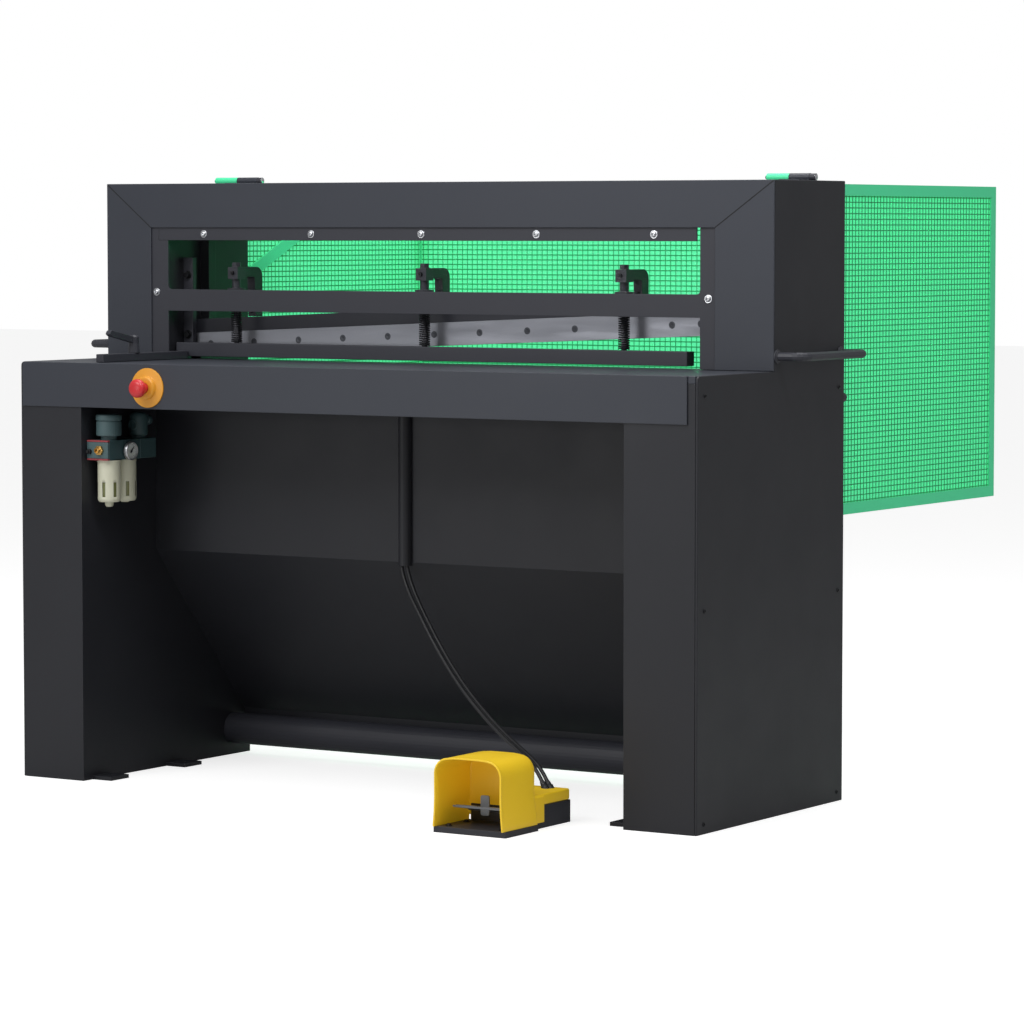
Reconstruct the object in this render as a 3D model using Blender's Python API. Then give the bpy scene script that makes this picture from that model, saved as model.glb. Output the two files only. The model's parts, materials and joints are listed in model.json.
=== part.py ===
"""Pneumatic guillotine shear for sheet metal, drawn as separate named pieces.

Sizes below are in millimetres, measured from the machine's front left floor corner: x to the
right, y to the back, z up.  at() turns such a point into Blender's metres, in a frame whose
origin is the middle of the machine's footprint on the floor.
"""
import math

import bpy
import bmesh
from mathutils import Matrix, Vector

MM = 0.001
GAP = 0.4              # clearance between neighbouring pieces

# Driving dimensions of the machine
WIDTH = 1680.0
DEPTH = 610.0
HEIGHT = 1284.0
TABLE_Z = 900.0
HOUSING_Y = 305.0      # front face of the upper housing
PEDAL_Y = -232.0       # front edge of the foot valve
CAGE_REAR_Y = 1460.0
X_MID = WIDTH / 2
Y_MID = (PEDAL_Y + CAGE_REAR_Y) / 2

# Sheet and plate
SHEET = 4.0
PANEL = 5.6            # side panels
WALL = 10.0            # inner walls of the side frames
LEFT_WALL = 163.0      # inner faces of the two side frames
RIGHT_WALL = 1513.0
TABLE_THICK = 15.0
UNDER_TABLE = TABLE_Z - TABLE_THICK - GAP
UNDER_ROOF = HEIGHT - SHEET - GAP
GUARD_Y = HOUSING_Y + SHEET      # the guard bars sit just behind the front cover
INSIDE_Y = GUARD_Y + 5.0

# Blades and ram
CUT_Y = 383.0          # plane in which the blades pass each other
BLADE_X = (172.0, 1505.0)
BLADE_TALL = 50.0
BLADE_THICK = 15.0
RAKE = 0.047           # rise of the upper blade per length
EDGE_Z = 905.6         # lowest point of the upper blade's edge
BEAM_ABOVE = 30.0      # how far the blade bar stands above the blade
BAR_LIFT = 12.0        # from the cutting edge up to the bar's lower face
BEAM_Y = (398.4, 428.0)
STROKE = 70.0
CYLINDER_INSET = 85.0
LUG_TALL = 30.0

# Hold-down
ROD_X = (324.0, 816.0, 1308.0)
ROD_Y = 345.0
ROD_R = 6.0
HOLD_Z = (906.0, 936.0)
FLANGE_Z = 1050.0      # underside of the spring flange on each clamp arm
ARM_Z = (1077.0, 1102.0)
SPRING_R = (9.0, 12.5)

# Guard in front of the blade
OPEN_X = (165.0, 1508.0)
COVER_X = (121.0, 1544.0)
COVER_Z = 1188.0
MID_BAR_Z = (1006.0, 1053.0)
STRIP_Z = 1160.0

# Lower front
APRON_Z = 805.0
APRON_X = (6.0, 1657.0)
CHUTE_LINE = ((264.0, 884.0), (264.0, 483.0), (590.0, 102.0), (590.0, 88.0))
TUBE_YZ = (545.0, 60.0)
HOSE_COVER_X = 822.5
HOSE_COVER_Y = 263.6

# Emergency stop
ESTOP = (345.0, 850.0)
APRON_FACE = -3.8      # just in front of the apron

# Air service unit on the left frame's inner wall
UNIT_X = 199.0
UNIT_Y = (50.0, 105.0, 154.0)
UNIT_Z = (691.0, 734.0)
GAUGE = (221.4, 87.0, 709.0)
NEEDLE_LEAN = 40.0     # degrees from upright, towards the back

# Squaring arm
ARM_X = (185.0, 205.0)
LEVER = (195.0, 145.0)

# Foot valve
FOOT_X = (1212.0, 1380.0)
FOOT_FRONT = -225.0
FOOT_REAR = -104.0
NECK_REAR = -66.0
GUARD_TOP = 152.0
BOX_X = (1226.0, 1366.0)
BOX_Y = 40.0
FOOT_MID = (FOOT_X[0] + FOOT_X[1]) / 2
TREADLE_AXIS = (-134.0, 40.0)
LATCH_AXIS = (-167.0, 50.0)
# Middle line between the two hoses: out of the cover, down, and across to the foot valve
HOSE_ROUTE = ((822, 256, 500), (822, 256, 482), (827, 254, 462), (840, 248, 437),
              (860, 238, 410), (886, 226, 380), (920, 210, 343), (957, 193, 306),
              (999, 173, 269), (1045, 151, 234), (1096, 127, 201), (1148, 102, 172),
              (1196, 79, 149), (1240, 59, 130), (1278, 41, 112), (1304, 28, 93),
              (1321, 20, 74))
HOSE_APART = 12.0
HOSE_TURN = 65.0       # the pair turns this far, in degrees, to lie level beside each other
HOSE_R = 4.0

# Rear guard cage
CAGE_X = (65.0, 1615.0)
CAGE_Y = (618.0, CAGE_REAR_Y)
CAGE_Z = (585.0, 1279.0)
CAGE_BAR = 24.0
CAGE_SHEET = 3.0
MESH_THICK = 1.2       # a wire panel stands here as a plate of about the same mass
CAGE_AXIS = (610.0, 1292.6)
KNUCKLE_R = 8.0
PIN_R = 3.8
# cage knuckle start, meeting point, fixed knuckle end, end of the pin's head
HINGES = (("left", 78.0, 138.0, 193.0, 204.0), ("right", 1498.0, 1551.0, 1599.0, 1612.0))


# ------------------------------------------------------------------ helpers

def at(x, y, z):
    """A point of the machine in the part's own frame, in metres."""
    return Vector(((x - X_MID) * MM, (y - Y_MID) * MM, z * MM))


def clear_scene():
    for thing in list(bpy.data.objects):
        bpy.data.objects.remove(thing, do_unlink=True)


def paint(name, colour, roughness, metallic=0.0, alpha=1.0):
    material = bpy.data.materials.new(name)
    material.use_nodes = True
    shader = material.node_tree.nodes["Principled BSDF"]
    shader.inputs["Base Color"].default_value = (*colour, 1.0)
    shader.inputs["Roughness"].default_value = roughness
    shader.inputs["Metallic"].default_value = metallic
    shader.inputs["Alpha"].default_value = alpha
    return material


def make(name, bm, material, origin=None, smooth=False):
    """Turn a bmesh drawn in machine millimetres into an object with its origin at origin."""
    home = at(*origin) if origin else Vector((0, 0, 0))
    bmesh.ops.recalc_face_normals(bm, faces=bm.faces)
    for vert in bm.verts:
        vert.co = at(*vert.co) - home
    mesh = bpy.data.meshes.new(name)
    bm.to_mesh(mesh)
    bm.free()
    mesh.materials.append(material)
    if smooth:
        mesh.shade_smooth()
        mesh.set_sharp_from_angle(angle=math.radians(35))
    thing = bpy.data.objects.new(name, mesh)
    thing.location = home
    bpy.context.scene.collection.objects.link(thing)
    return thing


def bevelled(thing, width, segments=2):
    modifier = thing.modifiers.new("Bevel", 'BEVEL')
    modifier.width = width * MM
    modifier.segments = segments
    modifier.limit_method = 'ANGLE'
    modifier.angle_limit = math.radians(40)
    return thing


def box(name, material, xs, ys, zs, bevel=0.0, origin=None):
    bm = bmesh.new()
    bmesh.ops.create_cube(bm, size=1.0)
    for vert in bm.verts:
        for axis, (low, high) in enumerate((xs, ys, zs)):
            vert.co[axis] = low if vert.co[axis] < 0 else high
    thing = make(name, bm, material, origin)
    return bevelled(thing, bevel) if bevel else thing


def prism(name, material, axis, outline, low, high, bevel=0.0, origin=None, smooth=False):
    """Extrude a closed outline along an axis; outline points are the other two, in order."""
    rest = [i for i in range(3) if i != axis]
    bm = bmesh.new()
    rings = []
    for level in (low, high):
        ring = []
        for point in outline:
            co = [0.0, 0.0, 0.0]
            co[axis] = level
            co[rest[0]], co[rest[1]] = point
            ring.append(bm.verts.new(co))
        rings.append(ring)
    bm.faces.new(rings[0])
    bm.faces.new(list(reversed(rings[1])))
    for i in range(len(outline)):
        j = (i + 1) % len(outline)
        bm.faces.new((rings[0][i], rings[0][j], rings[1][j], rings[1][i]))
    thing = make(name, bm, material, origin, smooth)
    return bevelled(thing, bevel) if bevel else thing


def lathe(name, material, profile, centre, axis='Z', steps=24, origin=None):
    """Turn a closed profile of (radius, height) round an axis through centre.

    Heights run along the axis, except that on the y axis they run forward, towards the front.
    """
    turn = {'Z': Matrix.Identity(3),
            'X': Matrix(((0, 0, 1), (1, 0, 0), (0, 1, 0))),
            'Y': Matrix(((1, 0, 0), (0, 0, -1), (0, 1, 0)))}[axis]
    bm = bmesh.new()
    rings = []
    for radius, height in profile:
        if radius == 0:
            rings.append([bm.verts.new(turn @ Vector((0, 0, height)) + Vector(centre))])
            continue
        ring = []
        for k in range(steps):
            angle = 2 * math.pi * k / steps
            spot = Vector((radius * math.cos(angle), radius * math.sin(angle), height))
            ring.append(bm.verts.new(turn @ spot + Vector(centre)))
        rings.append(ring)
    closed = all(radius > 0 for radius, _ in profile)
    pairs = list(zip(rings, rings[1:]))
    if closed:
        pairs.append((rings[-1], rings[0]))
    for lower, upper in pairs:
        for k in range(steps):
            j = (k + 1) % steps
            if len(lower) == 1:
                bm.faces.new((lower[0], upper[j], upper[k]))
            elif len(upper) == 1:
                bm.faces.new((lower[k], lower[j], upper[0]))
            else:
                bm.faces.new((lower[k], lower[j], upper[j], upper[k]))
    return make(name, bm, material, origin, smooth=True)


def rod(name, material, radius, centre, low, high, axis='Z', steps=16, origin=None):
    return lathe(name, material, [(0, low), (radius, low), (radius, high), (0, high)], centre,
                 axis, steps, origin)


def boolean(thing, others, operation):
    """Join or cut thing with others, which stay in the scene only as hidden guides."""
    for other in others:
        modifier = thing.modifiers.new(operation.title(), 'BOOLEAN')
        modifier.operation = operation
        modifier.solver = 'EXACT'
        modifier.object = other
        other.hide_render = True
        other.display_type = 'WIRE'
    return thing


def join(thing, *others):
    return boolean(thing, others, 'UNION')


def cut(thing, *others):
    return boolean(thing, others, 'DIFFERENCE')


def arc(cx, cy, radius, start, end, steps):
    """Points on an arc, angles in degrees."""
    angles = [math.radians(start + (end - start) * k / steps) for k in range(steps + 1)]
    return [(cx + radius * math.cos(a), cy + radius * math.sin(a)) for a in angles]


def rounded(points, radius, corners, steps=4):
    """A closed outline with the listed corners rounded."""
    outline = []
    count = len(points)
    for i, point in enumerate(points):
        here = Vector(point)
        if i not in corners:
            outline.append(tuple(here))
            continue
        before = (Vector(points[i - 1]) - here).normalized()
        after = (Vector(points[(i + 1) % count]) - here).normalized()
        for k in range(steps + 1):
            t = k / steps
            first = here + before * radius * (1 - t)
            second = here + after * radius * t
            outline.append(tuple(first * (1 - t) + second * t))
    return outline


def sheet_outline(line, thickness):
    """Outline of a bent sheet whose outer side follows line and whose body lies to its left."""
    points = [Vector(p) for p in line]
    inner = []
    for i, point in enumerate(points):
        sides = []
        if i > 0:
            sides.append((point - points[i - 1]).normalized())
        if i < len(points) - 1:
            sides.append((points[i + 1] - point).normalized())
        normals = [Vector((-side.y, side.x)) for side in sides]
        middle = sum(normals, Vector((0, 0))).normalized()
        inner.append(point + middle * thickness / middle.dot(normals[0]))
    return [tuple(p) for p in points] + [tuple(p) for p in reversed(inner)]


def swept(name, material, route, radius, spacing, resolution=3):
    """A round bar or hose: a POLY curve read from a smooth curve through the route's points."""
    points = smooth_route([Vector(p) for p in route], spacing)
    curve = bpy.data.curves.new(name, 'CURVE')
    curve.dimensions = '3D'
    curve.bevel_depth = radius * MM
    curve.bevel_resolution = resolution
    curve.use_fill_caps = True
    spline = curve.splines.new('POLY')
    spline.points.add(len(points) - 1)
    for slot, point in zip(spline.points, points):
        slot.co = (*at(*point), 1.0)
    curve.materials.append(material)
    thing = bpy.data.objects.new(name, curve)
    bpy.context.scene.collection.objects.link(thing)
    return thing


def smooth_route(points, spacing):
    """Evenly spaced points on the Catmull-Rom curve through points."""
    ends = [points[0] * 2 - points[1]] + points + [points[-1] * 2 - points[-2]]
    fine = []
    for a, b, c, d in zip(ends, ends[1:], ends[2:], ends[3:]):
        for k in range(24):
            t = k / 24
            fine.append(0.5 * (2 * b + (c - a) * t + (2 * a - 5 * b + 4 * c - d) * t * t
                               + (3 * b - a - 3 * c + d) * t ** 3))
    fine.append(points[-1])
    length = sum((q - p).length for p, q in zip(fine, fine[1:]))
    count = max(2, round(length / spacing))
    even = [fine[0]]
    walked = 0.0
    for p, q in zip(fine, fine[1:]):
        step = (q - p).length
        while len(even) < count and walked + step >= length * len(even) / count:
            share = (length * len(even) / count - walked) / step
            even.append(p + (q - p) * share)
        walked += step
    even.append(fine[-1])
    return even


def edge_z(x):
    """Height of the upper blade's cutting edge at x."""
    return EDGE_Z + RAKE * (x - BLADE_X[0])


# ------------------------------------------------------------------ pieces

def side_frame(side, wall):
    """Welded leg and housing side: front face, inner wall, rear face, floor tabs, guide rail."""
    left = side == "left"
    out = 1 if left else -1                     # from the outer side towards the middle
    outer = PANEL + GAP if left else WIDTH - PANEL - GAP

    def span(a, b):
        return tuple(sorted((a, b)))

    inner_wall = prism(f"{side}_side_frame", GRAPHITE, 0,
                       [(2, 0), (DEPTH - 2, 0), (DEPTH - 2, UNDER_ROOF), (INSIDE_Y, UNDER_ROOF),
                        (INSIDE_Y, UNDER_TABLE), (2, UNDER_TABLE)], *span(wall, wall - out * WALL))
    front = box(f"{side}_front_face_guide", GRAPHITE, span(outer, wall), (0, SHEET),
                (0, UNDER_TABLE))
    rear = box(f"{side}_rear_face_guide", GRAPHITE, span(outer, wall), (DEPTH - SHEET, DEPTH),
               (0, UNDER_ROOF))
    tabs = [box(f"{side}_tab_guide_{y}", GRAPHITE, span(wall - out * 5, wall + out * 50),
                (y, y + 62), (0, 8)) for y in (32, 296)]
    rail = box(f"{side}_rail_guide", GRAPHITE, span(wall - out * 5, wall + out * 23),
               (BEAM_Y[1] + 3, BEAM_Y[1] + 28), (TABLE_Z + 5, 1170))
    low, high = lug_heights(side)
    slot = box(f"{side}_lug_slot", GRAPHITE, span(wall - out * 30, wall + out * 5),
               (BEAM_Y[0] - 4, BEAM_Y[1] + 2), (low - STROKE - 5, high + 5))
    holes = [rod(f"{side}_anchor_hole_{y}", GRAPHITE, 6, (wall + out * 28, y + 31, 0), -5, 20)
             for y in (32, 296)]
    join(inner_wall, front, rear, *tabs, rail)
    cut(inner_wall, slot, *holes)


def side_panel(side, x):
    outline = rounded([(0, 0), (DEPTH, 0), (DEPTH, HEIGHT), (GUARD_Y, HEIGHT),
                       (GUARD_Y, TABLE_Z), (0, TABLE_Z)], 10, (5,))
    prism(f"{side}_side_panel", GRAPHITE_SIDE, 0, outline, x, x + PANEL, bevel=1.6)


def table_top():
    low, high = PANEL + GAP, WIDTH - PANEL - GAP
    outline = [(low, 0), (high, 0), (high, HOUSING_Y - GAP), (RIGHT_WALL - GAP, HOUSING_Y - GAP),
               (RIGHT_WALL - GAP, CUT_Y - 16), (LEFT_WALL + GAP, CUT_Y - 16),
               (LEFT_WALL + GAP, HOUSING_Y - GAP), (low, HOUSING_Y - GAP)]
    prism("table_top", GRAPHITE, 2, outline, TABLE_Z - TABLE_THICK, TABLE_Z, bevel=1.0)


def front_apron():
    low, high = APRON_X
    face = prism("front_apron", GRAPHITE, 1,
                 rounded([(low, APRON_Z), (high, APRON_Z), (high, TABLE_Z), (low, TABLE_Z)],
                         12, (3,)), -3.4, -GAP, bevel=0.8)
    lip = box("apron_lip_guide", GRAPHITE, (LEFT_WALL + 5, RIGHT_WALL - 5), (-2, 24),
              (APRON_Z, APRON_Z + 3))
    join(face, lip)


def lower_front():
    prism("chute_panel", GRAPHITE_SIDE, 0, sheet_outline(CHUTE_LINE, 3),
          LEFT_WALL + GAP, RIGHT_WALL - GAP)
    lathe("cross_tube", BLACK, [(35, LEFT_WALL + GAP), (35, RIGHT_WALL - GAP),
                                (31, RIGHT_WALL - GAP), (31, LEFT_WALL + GAP)],
          (0, *TUBE_YZ), 'X', 32)
    outer = [(HOSE_COVER_X + 15.5 * math.cos(a), HOSE_COVER_Y + 18 * math.sin(a))
             for a in [math.pi + math.pi * k / 14 for k in range(15)]]
    inner = [(HOSE_COVER_X + 13.5 * math.cos(a), HOSE_COVER_Y + 16 * math.sin(a))
             for a in [2 * math.pi - math.pi * k / 14 for k in range(15)]]
    prism("hose_cover", GRAPHITE_SIDE, 2, outer + inner, 476, UNDER_TABLE - 1, smooth=True)


def lower_blades():
    xs = (LEFT_WALL + GAP, RIGHT_WALL - GAP)
    box("lower_blade_beam", BLACK, xs, (325, CUT_Y - 16), (790, UNDER_TABLE), 1.5)
    box("lower_blade", BLADE_STEEL, BLADE_X, (CUT_Y - 15.6, CUT_Y - GAP),
        (TABLE_Z - BLADE_TALL, TABLE_Z), 0.6)


def knuckle(name, material, low, high):
    y, z = CAGE_AXIS
    return lathe(name, material, [(KNUCKLE_R, low), (KNUCKLE_R, high), (PIN_R + GAP, high),
                                  (PIN_R + GAP, low)], (0, y, z), 'X', 20)


def roof_cover():
    """Roof sheet with its rear lip and the two fixed hinge knuckles welded on top."""
    roof = box("roof_cover", GRAPHITE, (PANEL + GAP, WIDTH - PANEL - GAP), (GUARD_Y, DEPTH),
               (HEIGHT - SHEET, HEIGHT))
    lip = box("roof_lip_guide", GRAPHITE, (LEFT_WALL + GAP, RIGHT_WALL - GAP),
              (DEPTH - SHEET, DEPTH), (1190, HEIGHT - 1))
    y, z = CAGE_AXIS
    pieces = [lip]
    for side, _, start, end, _ in HINGES:
        pieces.append(box(f"{side}_roof_leaf_guide", GRAPHITE, (start + GAP, end),
                          (558, y - 3), (HEIGHT - 2, HEIGHT + 4)))
        pieces.append(knuckle(f"{side}_roof_knuckle_guide", GRAPHITE, start + GAP + 0.1,
                              end - 0.1))
    join(roof, *pieces)


def front_cover():
    low, high = COVER_X
    outline = [(0, TABLE_Z + 0.5), (low, TABLE_Z + 0.5), (low, COVER_Z), (high, COVER_Z),
               (high, TABLE_Z + 0.5), (WIDTH, TABLE_Z + 0.5), (WIDTH, HEIGHT), (0, HEIGHT)]
    prism("front_cover", GRAPHITE, 1, outline, HOUSING_Y, GUARD_Y - GAP, bevel=1.0)


def finger_guard():
    low, high = OPEN_X
    left, right = 108.0, 1560.0
    bar_low, bar_high = MID_BAR_Z
    foot, top = TABLE_Z + 1, COVER_Z + 12
    strip = (low - 25, high - 8)
    outline = rounded([(left, foot), (low, foot), (low, bar_low), (high, bar_low), (high, foot),
                       (right, foot), (right, top), (high, top), (high, bar_high),
                       (low, bar_high), (low, STRIP_Z), (strip[0] - GAP, STRIP_Z),
                       (strip[0] - GAP, top), (left, top)], 9, (8, 9), 3)
    prism("guard_frame", BLACK, 1, outline, GUARD_Y, GUARD_Y + 4)
    box("guard_top_strip", BLACK, strip, (GUARD_Y, GUARD_Y + 4), (STRIP_Z + GAP, top), 0.6)
    box("guard_window", CLEAR, (LEFT_WALL + 4, RIGHT_WALL - 4), (GUARD_Y + 4.4, GUARD_Y + 7.4),
        (bar_low + 28, COVER_Z + 7))


def side_handles():
    for side, base, out in (("left", -GAP, -1), ("right", WIDTH + GAP, 1)):
        reach = base + out * 60
        z = 930
        front, rear = HOUSING_Y + 14, DEPTH - 18
        bend = 26
        corner = [(bend * (1 - math.cos(a)), bend * (1 - math.sin(a)))
                  for a in [math.radians(15 * k) for k in range(7)]]
        route = [(base, front, z), (base + out * 14, front, z)]
        route += [(reach - out * u, front + v, z) for v, u in corner]
        route += [(reach, front + 60 + 45 * k, z) for k in range(4)]
        route += [(reach - out * u, rear - v, z) for v, u in reversed(corner)]
        route += [(base + out * 14, rear, z), (base, rear, z)]
        swept(f"{side}_handle", BLACK, route, 9, 9)


def lug_heights(side):
    """Lower and upper face of the blade bar's end lug at rest."""
    low = edge_z(BLADE_X[0] if side == "left" else BLADE_X[1]) + BAR_LIFT
    return low, low + LUG_TALL


def ram():
    """Upper blade, the raked bar that carries it, and its end lugs above the cylinders."""
    low, high = BLADE_X
    prism("upper_blade", BLADE_STEEL, 1,
          [(low, edge_z(low)), (high, edge_z(high)), (high, edge_z(high) + BLADE_TALL),
           (low, edge_z(low) + BLADE_TALL)], CUT_Y, CUT_Y + BLADE_THICK, bevel=0.5)
    top = BLADE_TALL + BEAM_ABOVE
    bar = prism("blade_beam", BLACK, 1,
                [(low, edge_z(low) + BAR_LIFT), (high, edge_z(high) + BAR_LIFT),
                 (high, edge_z(high) + top), (low, edge_z(low) + top)], *BEAM_Y)
    lugs = []
    for side, xs in (("left", (CYLINDER_INSET - 22, low + 20)),
                     ("right", (high - 20, WIDTH - CYLINDER_INSET + 22))):
        lugs.append(box(f"{side}_lug_guide", BLACK, xs, (BEAM_Y[0] + 2, BEAM_Y[1] - 2),
                        lug_heights(side)))
    join(bar, *lugs)


def cylinders():
    for side, x, wall in (("left", CYLINDER_INSET, LEFT_WALL - WALL - GAP),
                          ("right", WIDTH - CYLINDER_INSET, RIGHT_WALL + WALL + GAP)):
        y = (BEAM_Y[0] + BEAM_Y[1]) / 2
        lug = lug_heights(side)[0]
        top = lug - STROKE - 15
        barrel = rod(f"{side}_cylinder", ALUMINIUM, 36, (x, y, 0), top - 225, top - 5, steps=24)
        reach = tuple(sorted((x - 40 if side == "left" else x + 40, wall)))
        head = box(f"{side}_cylinder_head_guide", ALUMINIUM, reach, (y - 40, y + 40),
                   (top - 26, top))
        base = box(f"{side}_cylinder_base_guide", ALUMINIUM, (x - 40, x + 40), (y - 40, y + 40),
                   (top - 230, top - 204))
        bore = rod(f"{side}_cylinder_bore", ALUMINIUM, 10.6, (x, y, 0), top - 145, top + 5)
        cut(join(barrel, head, base), bore)
        rod(f"{side}_piston_rod", CHROME, 10, (x, y, 0), top - 60, lug - GAP)


def hold_down():
    box("hold_down_beam", BLACK, (170, 1466), (ROD_Y - 15, ROD_Y + 15), HOLD_Z, 1.2)
    for place, x in zip(("left", "middle", "right"), ROD_X):
        lathe(f"{place}_hold_down_rod", BLACK,
              [(0, HOLD_Z[1] + GAP), (ROD_R, HOLD_Z[1] + GAP), (ROD_R, ARM_Z[1] + GAP),
               (10, ARM_Z[1] + GAP), (10, ARM_Z[1] + 10), (0, ARM_Z[1] + 10)],
              (x, ROD_Y, 0), steps=12)
        inner, outer = SPRING_R
        lathe(f"{place}_hold_down_spring", SPRING_STEEL,
              [(outer, HOLD_Z[1] + 0.8), (outer, FLANGE_Z - GAP), (inner, FLANGE_Z - GAP),
               (inner, HOLD_Z[1] + 0.8)], (x, ROD_Y, 0), steps=20)
        clamp_arm(f"{place}_clamp_arm", x)


def clamp_arm(name, x):
    """Goose-neck arm on the blade bar: it reaches forward and presses on the spring."""
    low, high = ARM_Z
    foot = edge_z(x + 10) + BLADE_TALL + BEAM_ABOVE + GAP
    outer = arc(BEAM_Y[1] - 21, high - 21, 21, 0, 90, 6)
    inner = arc(BEAM_Y[0] - 4, low - 1, 5, 90, 0, 3)
    outline = [(BEAM_Y[0] + 4, foot), (BEAM_Y[1], foot)] + outer + [(ROD_Y - 13, high)]
    outline += [(ROD_Y - 13, low), (ROD_Y + 13, low), (ROD_Y + 13, low + 4)] + inner
    arm = prism(name, BLACK, 0, outline, x - 10, x + 10)
    neck = lathe(f"{name}_neck_guide", BLACK,
                 [(0, FLANGE_Z), (20, FLANGE_Z), (20, FLANGE_Z + 6), (9.5, FLANGE_Z + 7),
                  (9.5, low + 3), (0, low + 3)], (x, ROD_Y, 0), steps=20)
    block = box(f"{name}_block_guide", BLACK, (x - 13, x + 13), (ROD_Y - 14, ROD_Y + 14),
                (low - 1, high))
    hole = rod(f"{name}_hole", BLACK, ROD_R + 0.5, (x, ROD_Y, 0), FLANGE_Z - 5, high + 5,
               steps=16)
    cut(join(arm, neck, block), hole)


def emergency_stop():
    x, z = ESTOP
    centre = (x, 0, z)
    disc = lathe("estop_disc", YELLOW,
                 [(0, -APRON_FACE), (42, -APRON_FACE), (42, 7), (26, 7.5), (24, 18), (0, 18)],
                 centre, 'Y', 36)
    bore = rod("estop_bore", YELLOW, 11.6, centre, 6.5, 30, 'Y', 24)
    cut(disc, bore)
    lathe("estop_button", RED,
          [(0, 13), (11, 13), (11, 34), (18.5, 34), (20, 37), (19.5, 43), (15, 48.5), (8, 50.5),
           (0, 51)], centre, 'Y', 32, origin=(x, -51, z))


def service_unit():
    x0, x1 = LEFT_WALL + GAP, 221.0
    low, high = UNIT_Z
    body = box("service_unit_body", TEAL, (x0, x1), (18, 188), (low, high), 1.5)
    inlet = rod("inlet_guide", BRASS, 10, (UNIT_X, 0, (low + high) / 2), -19.5, -5, 'Y')
    join(body, inlet)
    front, middle, rear = UNIT_Y
    lathe("regulator_knob", TEAL,
          [(0, high + GAP), (17, high + GAP), (17, high + 8), (27, high + 9), (28, high + 14),
           (28, high + 50), (26, high + 55), (0, high + 55)], (UNIT_X, front, 0), steps=32,
          origin=(UNIT_X, front, high))
    for name, y in (("front_bowl", front), ("rear_bowl", middle)):
        lathe(name, CREAM,
              [(0, low - GAP), (25.5, low - GAP), (25.5, 606), (23.5, 600), (9, 599), (8, 590),
               (0, 590)], (UNIT_X, y, 0), steps=28)
    dome = lathe("lubricator_dome", DARK_TEAL,
                 [(0, high + GAP), (15, high + GAP), (15, high + 5), (20, high + 8),
                  (20, high + 46), (15, high + 54), (0, high + 56)], (UNIT_X, rear, 0), steps=28)
    elbow = rod("dome_elbow_guide", DARK_TEAL, 11, (UNIT_X, 0, high + 38), -rear - 38,
                -rear - 10, 'Y')
    join(dome, elbow)
    gx, gy, gz = GAUGE
    lathe("pressure_gauge", CHROME,
          [(0, 0), (6, 0), (6, 3), (20, 3), (20, 13), (18, 13), (18, 9), (0, 9)], GAUGE, 'X',
          32)
    lean = Matrix.Rotation(math.radians(-NEEDLE_LEAN), 2)
    needle = [lean @ Vector(p) for p in ((-1.6, -5), (1.6, -5), (0.5, 13), (-0.5, 13))]
    prism("gauge_needle", BLACK, 0, [(gy + p.x, gz + p.y) for p in needle], gx + 10, gx + 11,
          origin=GAUGE)


def squaring_arm():
    low, high = ARM_X
    box("squaring_arm", BLACK, (low, high), (25, 326), (TABLE_Z + GAP, TABLE_Z + 18), 1.5)
    x, y = LEVER
    foot = TABLE_Z + 18 + GAP
    hub = lathe("clamp_lever", BLACK,
                [(0, foot), (13, foot), (11, foot + 20), (11, foot + 34), (6, foot + 38),
                 (0, foot + 38)], (x, y, 0), steps=20, origin=(x, y, foot))
    handle = prism("lever_handle_guide", BLACK, 0,
                   rounded([(y, foot + 20), (y, foot + 33), (y - 86, foot + 50),
                            (y - 92, foot + 42), (y - 84, foot + 37)], 3, (2, 3)), x - 6, x + 6)
    join(hub, handle)


def valve_block():
    box("valve_block", ALUMINIUM, (92, LEFT_WALL - WALL - GAP), (120, 210), (620, 690), 2)


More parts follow.
